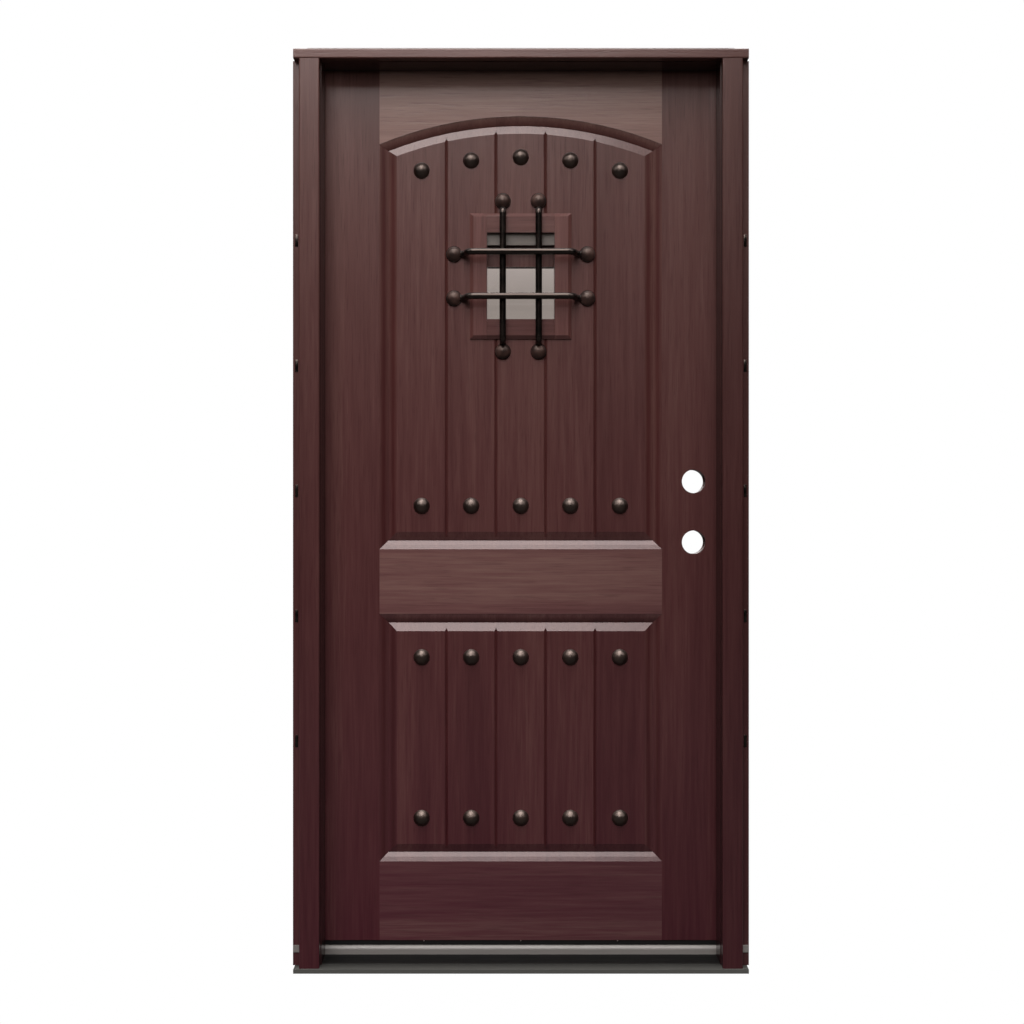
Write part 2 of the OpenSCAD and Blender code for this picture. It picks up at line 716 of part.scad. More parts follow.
// A block whose face at y = 0 carries both panels
module embossed(depth) difference() {
    translate([-slab_w / 2, 0, 0]) cube([slab_w, depth, slab_h]);
    difference() {
        square_panel(sunk_profile);
        square_panel(raised_profile);
    }
    difference() {
        arched_panel(sunk_profile);
        arched_panel(raised_profile);
    }
    plank_grooves();
}

module skin_sheet() difference() {
    embossed(skin_depth);
    translate([0, skin_t, 0]) embossed(skin_depth);
}

module from_outside() translate([0, slab_y, slab_z]) children();

module from_inside() translate([0, room_y, slab_z]) mirror([0, 1, 0]) children();

module cross_bores() for (z = bore_zs) translate([bore_x, slab_y - eps, z]) facing_in()
    cylinder(h = slab_t + 2 * eps, r = cross_bore_r);

module opening_block(grow) translate([-opening_hw - grow, slab_y - eps, opening_bottom - grow])
    cube([opening_w + 2 * grow, slab_t + 2 * eps, opening_h + 2 * grow]);

module iron_holes() {
    for (p = concat(arched_clavos, lower_clavos)) translate([p[0], slab_y, p[1]]) facing_in()
        cylinder(h = field_d + clavo_shank_l + screw_fit, r = clavo_shank_r + screw_fit);
    for (p = pad_spots) translate([p[0], slab_y, p[1]]) facing_in()
        cylinder(h = field_d + nail_shank_l + screw_fit - pad_t, r = nail_shank_r + screw_fit);
}

module exterior_skin() color(brown) difference() {
    from_outside() skin_sheet();
    cross_bores();
    opening_block(sleeve_t + sleeve_fit);
    iron_holes();
}

module interior_skin() color(brown) difference() {
    from_inside() skin_sheet();
    cross_bores();
    opening_block(sleeve_t + sleeve_fit);
    at_hinges() hinge_mortise(1);
}

// Inside the slab

module hinge_stile() color(timber) difference() {
    translate([-slab_w / 2, core_y, slab_z]) cube([hinge_stile_w, core_t, slab_h]);
    at_hinges() hinge_mortise(1);
    at_hinges() hinge_screw_set(1, screw_fit);
}

module lock_stile() color(timber) difference() {
    translate([slab_w / 2 - lock_stile_w, core_y, slab_z]) cube([lock_stile_w, core_t, slab_h]);
    cross_bores();
    for (z = bore_zs) translate([bore_x, slab_y + slab_t / 2, z]) rotate([0, 90, 0])
        cylinder(h = backset + eps, r = latch_bore_r);
}

module top_rail() color(timber) translate([rail_x0, core_y, slab_z + slab_h - top_rail_h])
    cube([rail_l, core_t, top_rail_h]);

module bottom_rail() color(timber) translate([rail_x0, core_y, slab_z]) cube([rail_l, core_t, bottom_rail_h]);

module foam_core() color(foam) difference() {
    intersection() {
        translate([rail_x0, core_y, slab_z + bottom_rail_h])
            cube([rail_l, core_t, slab_h - bottom_rail_h - top_rail_h]);
        translate([0, skin_t + glue_gap, 0]) from_outside() embossed(slab_t);
        translate([0, -skin_t - glue_gap, 0]) from_inside() embossed(slab_t);
    }
    opening_block(sleeve_t + sleeve_fit);
    iron_holes();
}

// Sweep: a carrier under the slab with three fins
module door_sweep() color(vinyl) difference() {
    along_x(slab_w - 2 * sweep_inset) {
        translate([sweep_y0, slab_z - sweep_carrier]) square([sweep_y1 - sweep_y0, sweep_carrier]);
        for (y = [sweep_y0, (sweep_y0 + sweep_y1 - sweep_fin_t) / 2, sweep_y1 - sweep_fin_t])
            translate([y, sweep_z]) square([sweep_fin_t, sweep_h]);
    }
    sweep_screw_set(screw_fit);
}

module sweep_screw_set(fit) for (x = sweep_screw_xs)
    translate([x, sweep_y0 - sweep_head_h, slab_z - sweep_carrier / 2]) facing_in() {
        cylinder(h = sweep_screw_l + fit, r = sweep_screw_r + fit);
        cylinder(h = sweep_head_h, r = sweep_head_r);
    }

module sweep_screws() color(steel) sweep_screw_set(0);

// Clavos: domed heads on round shanks
module domed_nail(r, h, shank_r, shank_l) {
    ball = (r * r + h * h) / (2 * h);
    facing_in() cylinder(h = shank_l, r = shank_r);
    difference() {
        translate([0, ball - h, 0]) sphere(r = ball);
        translate([-ball - eps, 0, -ball - eps])
            cube([2 * ball + 2 * eps, 2 * ball + eps, 2 * ball + 2 * eps]);
    }
}

module clavo_row(spots) for (p = spots) translate([p[0], field_y, p[1]])
    domed_nail(clavo_r, clavo_h, clavo_shank_r, clavo_shank_l);

module arched_panel_clavos() color(iron) clavo_row(arched_clavos);

module lower_panel_clavos() color(iron) clavo_row(lower_clavos);

// Speakeasy surround: a bevelled frame of two stiles with two rails between them

module surround_block() intersection() {
    translate([0, 0, surround_z0]) linear_extrude(surround_z1 - surround_z0) polygon([
        [-surround_hw, field_y], [surround_hw, field_y], [surround_hw, field_y - surround_t / 3],
        [surround_hw - surround_bevel, field_y - surround_t],
        [-surround_hw + surround_bevel, field_y - surround_t],
        [-surround_hw, field_y - surround_t / 3]]);
    along_x(2 * surround_hw) polygon([
        [field_y, surround_z0], [field_y, surround_z1], [field_y - surround_t / 3, surround_z1],
        [field_y - surround_t, surround_z1 - surround_bevel],
        [field_y - surround_t, surround_z0 + surround_bevel],
        [field_y - surround_t / 3, surround_z0]]);
}

module surround_part(x0, x1, z0, z1) intersection() {
    surround_block();
    translate([x0, field_y - surround_t - eps, z0]) cube([x1 - x0, surround_t + 2 * eps, z1 - z0]);
}

module speakeasy_left_stile() color(brown) surround_part(-surround_hw, -opening_hw, surround_z0, surround_z1);

module speakeasy_right_stile() color(brown) surround_part(opening_hw, surround_hw, surround_z0, surround_z1);

module speakeasy_top_rail() color(brown_light)
    surround_part(-opening_hw + rail_joint, opening_hw - rail_joint, opening_top, surround_z1);

module speakeasy_bottom_rail() color(brown_light)
    surround_part(-opening_hw + rail_joint, opening_hw - rail_joint, surround_z0, opening_bottom);

module speakeasy_sleeve() color(brown) {
    difference() {
        translate([-opening_hw - sleeve_t, field_y, opening_bottom - sleeve_t])
            cube([opening_w + 2 * sleeve_t, inner_field_y - field_y, opening_h + 2 * sleeve_t]);
        opening_block(0);
    }
    translate([-opening_hw - sleeve_t / 2, field_y + valance_setback, opening_top - valance_h])
        cube([opening_w + sleeve_t, valance_t, valance_h + sleeve_t / 2]);
}

// The trim that the sash closes into, on the room side
module speakeasy_inner_trim() color(brown) difference() {
    translate([0, 0, trim_z0 - trim_w]) linear_extrude(trim_z1 - trim_z0 + 2 * trim_w) polygon([
        [-trim_in - trim_w, inner_field_y], [trim_in + trim_w, inner_field_y],
        [trim_in + trim_w, sash_face_y - trim_bevel], [trim_in + trim_w - trim_bevel, sash_face_y],
        [-trim_in - trim_w + trim_bevel, sash_face_y], [-trim_in - trim_w, sash_face_y - trim_bevel]]);
    translate([-trim_in, inner_field_y - eps, trim_z0])
        cube([2 * trim_in, sash_t + sash_seat + 2 * eps, trim_z1 - trim_z0]);
    for (z = sash_hinge_zs) translate([sash_hinge_x, sash_hinge_y, z]) sash_mortise(0);
}

// Grille bars. Each is made along X, on planks at y = 0, with its rise towards -Y.

module bar_elbow(r) rotate_extrude(angle = 90) translate([r, 0]) circle(bar_r);

module bar_end(rise) {
    r = (rise - bar_foot) / 2;
    translate([0, -rise + r, 0]) rotate([0, 0, -90]) bar_elbow(r);
    translate([2 * r, -bar_foot - r, 0]) rotate([0, 0, 90]) bar_elbow(r);
}

module grille_bar(span, rise) {
    r = (rise - bar_foot) / 2;
    straight = span / 2 - pad_neck - 2 * r;
    difference() {
        union() {
            translate([-straight, -rise, 0]) rotate([0, 90, 0]) cylinder(h = 2 * straight, r = bar_r);
            for (s = [0, 1]) mirror([s, 0, 0]) {
                translate([straight, 0, 0]) bar_end(rise);
                translate([span / 2, 0, 0]) rotate([90, 0, 0]) cylinder(h = pad_t, r = pad_r);
            }
        }
        translate([-span, 0, -2 * bar_r]) cube([2 * span, 2 * bar_r, 4 * bar_r]);
        for (s = [-1, 1]) translate([s * span / 2, -pad_t - eps, 0]) facing_in()
            cylinder(h = pad_t + 2 * eps, r = nail_shank_r + screw_fit);
        for (s = [-1, 1]) translate([s * span / 2, -pad_t, 0]) rotate([90, 0, 0])
            cylinder(h = nail_h, r = nail_r);
    }
}

module upright(x) color(iron) difference() {
    translate([x, field_y, grille_z]) rotate([0, -90, 0]) grille_bar(upright_l, upright_rise);
    for (z = crossbar_zs) translate([-crossbar_l / 2, field_y - crossbar_rise, z]) rotate([0, 90, 0])
        cylinder(h = crossbar_l, r = bar_r + cope_fit);
}

module crossbar(z) color(iron) translate([0, field_y, z]) grille_bar(crossbar_l, crossbar_rise);

module grille_left_upright() upright(upright_xs[0]);
module grille_right_upright() upright(upright_xs[1]);
module grille_upper_crossbar() crossbar(crossbar_zs[0]);
module grille_lower_crossbar() crossbar(crossbar_zs[1]);

module grille_nails() color(iron) for (p = pad_spots) translate([p[0], field_y - pad_t, p[1]])
    domed_nail(nail_r - 2 * screw_fit, nail_h, nail_shank_r, nail_shank_l);

// Sash: one frame with a deep top rail, rabbeted from the room side for the glass

module glass_block(grow, y0, y1) translate([-glass_hw - grow, y0, glass_z0 - grow])
    cube([2 * (glass_hw + grow), y1 - y0, glass_z1 - glass_z0 + 2 * grow]);

module sash_frame() color(brown) difference() {
    translate([-sash_hw, sash_y, sash_z0]) cube([2 * sash_hw, sash_t, sash_z1 - sash_z0]);
    glass_block(0, sash_y - eps, sash_face_y + eps);
    glass_block(glass_lap, glass_y, sash_face_y + eps);
    for (z = sash_hinge_zs) translate([sash_hinge_x, sash_hinge_y, z]) sash_mortise(1);
}

module sash_glass() color([0.75, 0.73, 0.71]) glass_block(glass_lap - glass_fit, glass_y, glass_y + glass_t);

module glazing_bead() color(brown) difference() {
    glass_block(glass_lap - glass_fit, glass_y + glass_t, sash_face_y);
    glass_block(glass_lap - bead_t, glass_y, sash_face_y + eps);
}

module sash_mortise(side) to_side(side)
    translate([sash_gap / 2, -sash_hinge_seat - sash_plate_w - screw_fit, -sash_hinge_h / 2 - screw_fit])
        cube([sash_plate_t, sash_plate_w + screw_fit + eps, sash_hinge_h + 2 * screw_fit]);

module sash_plates(side) for (z = sash_hinge_zs) translate([sash_hinge_x, sash_hinge_y, z])
    hinge_plate(sash_hinge_h, sash_plate_w, sash_plate_t, sash_knuckle_r, sash_pin_r, sash_gap,
        sash_hinge_seat, side);

module sash_hinge_trim_plates() color(steel) sash_plates(0);

module sash_hinge_sash_plates() color(steel) sash_plates(1);

module sash_hinge_pins() color(steel) for (z = sash_hinge_zs) translate([sash_hinge_x, sash_hinge_y, z])
    round_pin(sash_hinge_h, sash_pin_r, sash_knuckle_r * 0.9);

// Barrel bolt: a base with two guides on the sash, the bolt that slides up, and a keeper on the trim

module bolt_guide(h) difference() {
    translate([-guide_w / 2, 0, 0]) cube([guide_w, guide_t, h]);
    translate([0, guide_t / 2, -eps]) cylinder(h = h + 2 * eps, r = bolt_r + bolt_fit);
}

module bolt_barrel() color(iron) {
    translate([-guide_w / 2, sash_face_y, barrel_z0]) cube([guide_w, barrel_base_t, barrel_l]);
    for (z = [barrel_z0, barrel_z1 - guide_h])
        translate([0, sash_face_y + barrel_base_t, z]) bolt_guide(guide_h);
}

module barrel_bolt() color(steel) {
    translate([0, bolt_y, barrel_z0 + bolt_tip]) cylinder(h = barrel_l - 2 * bolt_tip, r = bolt_r);
    translate([0, bolt_y, bolt_knob_z]) facing_in() cylinder(h = bolt_knob_l, r = bolt_knob_r);
}

module bolt_keeper() color(iron) {
    translate([-guide_w / 2, sash_face_y, keeper_z]) cube([guide_w, barrel_base_t, keeper_h]);
    translate([0, sash_face_y + barrel_base_t, keeper_z]) bolt_guide(keeper_h);
}

sill_base();
sill_tread();
sill_cap();
sill_cap_screws();
hinge_jamb();
strike_jamb();
head_jamb();
frame_screws();
hinge_side_casing();
strike_side_casing();
head_casing();
hinge_side_fin();
strike_side_fin();
fixing_clips();
hinge_weatherstrip();
strike_weatherstrip();
head_weatherstrip();
corner_pads();
upper_hinge_jamb_plate();
middle_hinge_jamb_plate();
lower_hinge_jamb_plate();
upper_hinge_pin();
middle_hinge_pin();
lower_hinge_pin();
jamb_hinge_screws();
exterior_skin();
interior_skin();
hinge_stile();
lock_stile();
top_rail();
bottom_rail();
foam_core();
door_sweep();
sweep_screws();
upper_hinge_door_plate();
middle_hinge_door_plate();
lower_hinge_door_plate();
door_hinge_screws();
arched_panel_clavos();
lower_panel_clavos();
speakeasy_left_stile();
speakeasy_right_stile();
speakeasy_top_rail();
speakeasy_bottom_rail();
speakeasy_sleeve();
speakeasy_inner_trim();
grille_left_upright();
grille_right_upright();
grille_upper_crossbar();
grille_lower_crossbar();
grille_nails();
bolt_keeper();
sash_hinge_trim_plates();
sash_hinge_pins();
sash_frame();
sash_glass();
glazing_bead();
sash_hinge_sash_plates();
bolt_barrel();
barrel_bolt();
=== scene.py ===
import math
import random

import bpy
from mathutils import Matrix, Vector


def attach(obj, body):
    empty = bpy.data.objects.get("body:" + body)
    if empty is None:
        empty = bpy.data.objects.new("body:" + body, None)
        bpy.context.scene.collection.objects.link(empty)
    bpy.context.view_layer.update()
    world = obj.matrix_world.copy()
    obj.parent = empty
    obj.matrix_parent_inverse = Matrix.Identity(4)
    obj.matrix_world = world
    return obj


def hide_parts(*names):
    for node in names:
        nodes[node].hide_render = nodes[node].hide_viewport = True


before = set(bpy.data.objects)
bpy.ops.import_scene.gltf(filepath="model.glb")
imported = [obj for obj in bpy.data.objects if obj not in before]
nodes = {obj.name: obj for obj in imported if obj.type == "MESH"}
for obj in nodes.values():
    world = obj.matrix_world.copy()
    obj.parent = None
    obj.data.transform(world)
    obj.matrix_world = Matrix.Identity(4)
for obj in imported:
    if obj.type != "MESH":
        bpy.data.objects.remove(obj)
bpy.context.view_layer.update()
scene = bpy.context.scene
scene.view_settings.view_transform = "Standard"
print("frame loaded:", len(nodes), "nodes")


# camera, level and straight at the outside face
cameraSetup = {
    "place": (-0.020, -3.1886, 1.0264),   # 3.26 m from the slab's outside face
    "tiltDegrees": 90.0, "lens": 49.94, "sensorWidth": 36.0,
}
cameraData = bpy.data.cameras.new("frontCamera")
cameraData.lens = cameraSetup["lens"]
cameraData.sensor_width = cameraSetup["sensorWidth"]
camera = bpy.data.objects.new("frontCamera", cameraData)
camera.location = cameraSetup["place"]
camera.rotation_euler = (math.radians(cameraSetup["tiltDegrees"]), 0, 0)
scene.collection.objects.link(camera)
scene.camera = camera
print("camera set")


# small helpers for materials
def hexColor(code):
    # the sRGB curve, from a written colour to linear light
    channels = [int(code[i:i + 2], 16) / 255 for i in (1, 3, 5)]
    linear = [c / 12.92 if c <= 0.04045 else ((c + 0.055) / 1.055) ** 2.4 for c in channels]
    return (*linear, 1.0)


def clearTree(owner):
    owner.use_nodes = True
    owner.node_tree.nodes.clear()
    return owner.node_tree


# a setting is a property of the node, a value for one of its inputs, or a socket to link to that input.
# A Mix node's inputs are 0 for the factor, 2 and 3 for numbers, 4 and 5 for vectors, 6 and 7 for colours.
def addNode(tree, kind, settings=None):
    node = tree.nodes.new("ShaderNode" + kind)
    for key, value in (settings or {}).items():
        if isinstance(value, bpy.types.NodeSocket):
            tree.links.new(value, node.inputs[key])
        elif isinstance(key, str) and key in node.bl_rna.properties:
            setattr(node, key, value)
        else:
            node.inputs[key].default_value = value
    return node


def newFinish(name):
    material = bpy.data.materials.new(name)
    tree = clearTree(material)
    return material, tree, addNode(tree, "TexCoord").outputs["Object"]


def showSurface(tree, settings):
    shader = addNode(tree, "BsdfPrincipled", settings)
    addNode(tree, "OutputMaterial", {"Surface": shader.outputs["BSDF"]})


def perMetre(millimetres):
    return 1000.0 / millimetres


# stained fiberglass: moulded with an oak grain, wiped with a gel stain and a satin topcoat.
# The stain sits dark in the pores and thin on the ridges. Painted on top: shade towards the foot and the lock
# side, sheen towards the top, and a sheen that shows the rails paler than the stiles.
stain = {
    "dark": "#301818", "mid": "#4A2C2A", "pale": "#63443E", "darkAt": 0.36, "midAt": 0.50, "paleAt": 0.66,
    # footShade and headSheen: painted shade at the foot, painted sheen at the head, mixed in by height
    "footShade": "#380918", "headSheen": "#563933", "shadeAndSheenShare": 0.65, "topOfDoor": 2.05,
    # painted sheen that shows the rails paler, from the foot rail up to the head rail
    "railSheenFoot": (1.22, 1.62, 1.52), "railSheenHead": (2.30, 3.05, 2.95),
    "halfWidth": 0.45, "hingeSideLight": 1.04, "lockSideShade": 0.80,   # painted shade, darker towards the lock
    "roughLeast": 0.20, "roughMost": 0.28, "specular": 0.5, "sheenTint": (1.0, 0.88, 0.86, 1.0),
}
# oak grain pressed into the skin: a broad figure, fine lines and pores, all drawn out along the board;
# pores are coarser than real so that they show
oakGrain = {
    "up": (1, 1, 0.04), "across": (0.04, 1, 1),
    "figureMm": 95.0, "figureDetail": 3.0, "figureWarp": 0.6, "figureShare": 0.55,
    "lineMm": 8.0, "lineDetail": 5.0, "lineRoughness": 0.62, "lineShare": 0.45,
    "poreMm": 2.6, "poreDetail": 2.0, "poreFrom": 0.56, "poreFull": 0.70, "poreStain": 0.30,
    "poreHeight": -0.8, "bump": 0.10, "bumpDepth": 0.0007,
}
# the slab's moulded face in metres: planks, stiles, rails, the arch's rings, and the lines of painted shade
# and the grooves at the sides, measured in from the stile's edge
slabFace = {
    "plankWidth": 0.1138, "boardsEachSide": 3.0, "boardSlide": 0.173,
    "plankEdge": 0.5,   # in plank widths off the plank's middle
    "stileInner": 0.324, "bottomRail": 0.2245, "lockRailLow": 0.7925, "lockRailHigh": 0.941,
    "archCentre": 1.0845, "archRadius": 0.850, "archFrom": 1.5, "bevelInner": 0.8105, "bevelOuter": 0.8295,
    "valleyDepth": 0.0205, "outerLine": 0.0091, "innerLine": 0.0309, "lineCore": 0.0015, "lineFade": 0.0072,
    "grooveCore": 0.0010, "grooveFade": 0.0052, "grooveInset": 0.0460, "grooveEnd": 0.028,
}
# the share of colour left by painted shade in the valleys and along the side lines, by painted light on the
# stickings' edges and by stain gathered in the grooves, and how topcoat stands in the arch's valley
shadeStainAndPool = {
    # valleyShade and lineShade are painted shade, stickingLight is painted light, inGroove is stain in the
    # grooves
    "valleyShade": 0.30, "stickingLight": 1.75, "lineShade": 0.56, "inGroove": 0.62, "redKept": 0.55,
    "poolRise": 0.0023, "poolBump": 1.0,
}


# where a point of the slab's face lies: off the middle, in from stile and rails, out from the arch's centre
def measureSlab(tree, place):
    split = addNode(tree, "SeparateXYZ", {0: place})
    x, z = split.outputs["X"], split.outputs["Z"]
    sideways = addNode(tree, "Math", {"operation": "ABSOLUTE", 0: x}).outputs[0]
    fromStile = addNode(tree, "Math", {"operation": "SUBTRACT", 0: slabFace["stileInner"],
                                       1: sideways}).outputs[0]
    fromCentre = addNode(tree, "VectorMath", {"operation": "SUBTRACT", 0: place,
                                              1: (0, 0, slabFace["archCentre"])}).outputs[0]
    flat = addNode(tree, "VectorMath", {"operation": "MULTIPLY", 0: fromCentre, 1: (1, 0, 1)}).outputs[0]
    reach = addNode(tree, "VectorMath", {"operation": "LENGTH", 0: flat}).outputs["Value"]
    high = addNode(tree, "Math", {"operation": "GREATER_THAN", 0: z, 1: slabFace["archFrom"]}).outputs[0]
    overFoot = addNode(tree, "Math", {"operation": "SUBTRACT", 0: z, 1: slabFace["bottomRail"]}).outputs[0]
    underLock = addNode(tree, "Math", {"operation": "SUBTRACT", 0: slabFace["lockRailLow"], 1: z}).outputs[0]
    overLock = addNode(tree, "Math", {"operation": "SUBTRACT", 0: z, 1: slabFace["lockRailHigh"]}).outputs[0]
    underArch = addNode(tree, "Math", {"operation": "SUBTRACT", 0: slabFace["archRadius"],
                                       1: reach}).outputs[0]
    upperRun = addNode(tree, "Math", {"operation": "MINIMUM", 0: overLock, 1: underArch}).outputs[0]
    lowerRun = addNode(tree, "Math", {"operation": "MINIMUM", 0: overFoot, 1: underLock}).outputs[0]
    run = addNode(tree, "Math", {"operation": "MAXIMUM", 0: upperRun, 1: lowerRun}).outputs[0]
    return {"x": x, "z": z, "sideways": sideways, "fromStile": fromStile, "reach": reach, "high": high,
            "underLock": underLock, "run": run}


def findRails(tree, at):
    between = addNode(tree, "Math", {"operation": "LESS_THAN", 0: at["sideways"],
                                     1: slabFace["stileInner"]}).outputs[0]
    foot = addNode(tree, "Math", {"operation": "LESS_THAN", 0: at["z"], 1: slabFace["bottomRail"]}).outputs[0]
    lockUp = addNode(tree, "Math", {"operation": "GREATER_THAN", 0: at["z"],
                                    1: slabFace["lockRailLow"]}).outputs[0]
    lockDown = addNode(tree, "Math", {"operation": "LESS_THAN", 0: at["z"],
                                      1: slabFace["lockRailHigh"]}).outputs[0]
    lock = addNode(tree, "Math", {"operation": "MULTIPLY", 0: lockUp, 1: lockDown}).outputs[0]
    past = addNode(tree, "Math", {"operation": "GREATER_THAN", 0: at["reach"],
                                  1: slabFace["archRadius"]}).outputs[0]
    head = addNode(tree, "Math", {"operation": "MULTIPLY", 0: past, 1: at["high"]}).outputs[0]
    lowRails = addNode(tree, "Math", {"operation": "MAXIMUM", 0: foot, 1: lock}).outputs[0]
    allRails = addNode(tree, "Math", {"operation": "MAXIMUM", 0: lowRails, 1: head}).outputs[0]
    return addNode(tree, "Math", {"operation": "MULTIPLY", 0: allRails, 1: between}).outputs[0]


# topcoat lies thickest in the arch's valley and thins out over the bevel and the sticking, up to the mitres
def findPool(tree, at):
    onBevel = addNode(tree, "MapRange", {"Value": at["reach"], "From Min": slabFace["bevelInner"],
                                         "From Max": slabFace["bevelOuter"]}).outputs[0]
    onSticking = addNode(tree, "MapRange", {"Value": at["reach"], "From Min": slabFace["bevelOuter"],
                                            "From Max": slabFace["archRadius"],
                                            "To Min": 1.0, "To Max": 0.0}).outputs[0]
    pooled = addNode(tree, "Math", {"operation": "MINIMUM", 0: onBevel, 1: onSticking}).outputs[0]
    pooledTop = addNode(tree, "Math", {"operation": "MULTIPLY", 0: pooled, 1: at["high"]}).outputs[0]
    lead = addNode(tree, "Math", {"operation": "SUBTRACT", 0: at["reach"], 1: at["sideways"]}).outputs[0]
    onArch = addNode(tree, "Math", {"operation": "GREATER_THAN", 0: lead,
                                    1: slabFace["archRadius"] - slabFace["stileInner"]}).outputs[0]
    return addNode(tree, "Math", {"operation": "MULTIPLY", 0: pooledTop, 1: onArch}).outputs[0]


# painted shade in the valley under the top of both panels, and painted light on the sticking's edge beside it
def valleyShadeAndLight(tree, at, pool):
    archShadeAndLight = addNode(tree, "MapRange", {"Value": at["reach"], "From Min": slabFace["bevelOuter"],
                                           "From Max": slabFace["archRadius"], "To Min": shadeStainAndPool["valleyShade"],
                                           "To Max": shadeStainAndPool["stickingLight"]}).outputs[0]
    archBand = addNode(tree, "Math", {"operation": "GREATER_THAN", 0: pool, 1: 0.0}).outputs[0]
    pastValley = addNode(tree, "Math", {"operation": "GREATER_THAN", 0: at["reach"],
                                        1: slabFace["bevelOuter"]}).outputs[0]
    archShadeBand = addNode(tree, "Math", {"operation": "MULTIPLY", 0: archBand, 1: pastValley}).outputs[0]
    lowShadeAndLight = addNode(tree, "MapRange", {"Value": at["z"], "To Min": shadeStainAndPool["valleyShade"],
                                          "To Max": shadeStainAndPool["stickingLight"],
                                          "From Min": slabFace["lockRailLow"] - slabFace["valleyDepth"],
                                          "From Max": slabFace["lockRailLow"]}).outputs[0]
    nearEdge = addNode(tree, "Math", {"operation": "MINIMUM", 0: at["fromStile"],
                                      1: slabFace["valleyDepth"]}).outputs[0]
    lowUnder = addNode(tree, "Math", {"operation": "GREATER_THAN", 0: at["underLock"], 1: 0.0}).outputs[0]
    lowAbove = addNode(tree, "Math", {"operation": "LESS_THAN", 0: at["underLock"], 1: nearEdge}).outputs[0]
    lowShadeBand = addNode(tree, "Math", {"operation": "MULTIPLY", 0: lowUnder, 1: lowAbove}).outputs[0]
    archShading = addNode(tree, "Mix", {"data_type": "FLOAT", 0: archShadeBand, 2: 1.0, 3: archShadeAndLight}).outputs[0]
    return addNode(tree, "Mix", {"data_type": "FLOAT", 0: lowShadeBand, 2: archShading, 3: lowShadeAndLight}).outputs[0]


# two lines of painted shade run down the panels' sides, each ending at the mitres
def sideLineShade(tree, at):
    onSide = addNode(tree, "Math", {"operation": "LESS_THAN", 0: at["fromStile"], 1: at["run"]}).outputs[0]
    gaps = []
    for line in ("outerLine", "innerLine"):
        offset = addNode(tree, "Math", {"operation": "SUBTRACT", 0: at["fromStile"],
                                        1: slabFace[line]}).outputs[0]
        gaps.append(addNode(tree, "Math", {"operation": "ABSOLUTE", 0: offset}).outputs[0])
    gap = addNode(tree, "Math", {"operation": "MINIMUM", 0: gaps[0], 1: gaps[1]}).outputs[0]
    lineShading = addNode(tree, "MapRange", {"Value": gap, "From Min": slabFace["lineCore"],
                                           "From Max": slabFace["lineFade"], "To Min": shadeStainAndPool["lineShade"],
                                           "To Max": 1.0}).outputs[0]
    return addNode(tree, "Mix", {"data_type": "FLOAT", 0: onSide, 2: 1.0, 3: lineShading}).outputs[0]


# and stain stays in the grooves between planks
def grooveGain(tree, at, offMiddle):
    coreAt = slabFace["plankEdge"] - slabFace["grooveCore"] / slabFace["plankWidth"]
    fadeAt = slabFace["plankEdge"] - slabFace["grooveFade"] / slabFace["plankWidth"]
    grooveStain = addNode(tree, "MapRange", {"Value": offMiddle, "From Min": fadeAt, "From Max": coreAt,
                                             "To Min": 1.0, "To Max": shadeStainAndPool["inGroove"]}).outputs[0]
    inField = addNode(tree, "Math", {"operation": "GREATER_THAN", 0: at["fromStile"],
                                     1: slabFace["grooveInset"]}).outputs[0]
    inRun = addNode(tree, "Math", {"operation": "GREATER_THAN", 0: at["run"],
                                   1: slabFace["grooveEnd"]}).outputs[0]
    grooved = addNode(tree, "Math", {"operation": "MULTIPLY", 0: inField, 1: inRun}).outputs[0]
    return addNode(tree, "Mix", {"data_type": "FLOAT", 0: grooved, 2: 1.0, 3: grooveStain}).outputs[0]


def alongGrain(tree, place, direction):
    return addNode(tree, "VectorMath", {"operation": "MULTIPLY", 0: place, 1: oakGrain[direction]}).outputs[0]


# the slab's rails, its pooled topcoat, what its painted shade and light and its groove stain leave of the
# colour, and its grain
def readSlab(tree, place):
    at = measureSlab(tree, place)
    isRail = findRails(tree, at)
    pool = findPool(tree, at)
    count = addNode(tree, "Math", {"operation": "DIVIDE", 0: at["x"], 1: slabFace["plankWidth"]}).outputs[0]
    index = addNode(tree, "Math", {"operation": "ROUND", 0: count}).outputs[0]
    offBoard = addNode(tree, "Math", {"operation": "SUBTRACT", 0: count, 1: index}).outputs[0]
    offMiddle = addNode(tree, "Math", {"operation": "ABSOLUTE", 0: offBoard}).outputs[0]
    paintedShadeAndLight = addNode(tree, "Math", {"operation": "MULTIPLY", 0: valleyShadeAndLight(tree, at, pool),
                                      1: sideLineShade(tree, at)}).outputs[0]
    shadeAndGrooveStain = addNode(tree, "Math", {"operation": "MULTIPLY", 0: paintedShadeAndLight,
                                      1: grooveGain(tree, at, offMiddle)}).outputs[0]
    # each plank and stile is cut from its own stretch of grain
    low = addNode(tree, "Math", {"operation": "MAXIMUM", 0: index, 1: -slabFace["boardsEachSide"]}).outputs[0]
    board = addNode(tree, "Math", {"operation": "MINIMUM", 0: low, 1: slabFace["boardsEachSide"]}).outputs[0]
    slide = addNode(tree, "Math", {"operation": "MULTIPLY", 0: board, 1: slabFace["boardSlide"]}).outputs[0]
    shift = addNode(tree, "CombineXYZ", {"Y": slide, "Z": slide}).outputs[0]
    upright = addNode(tree, "VectorMath", {"operation": "ADD", 0: alongGrain(tree, place, "up"),
                                           1: shift}).outputs[0]
    grainPlace = addNode(tree, "Mix", {"data_type": "VECTOR", 0: isRail, 4: upright,
                                       5: alongGrain(tree, place, "across")}).outputs[1]
    return isRail, pool, shadeAndGrooveStain, grainPlace


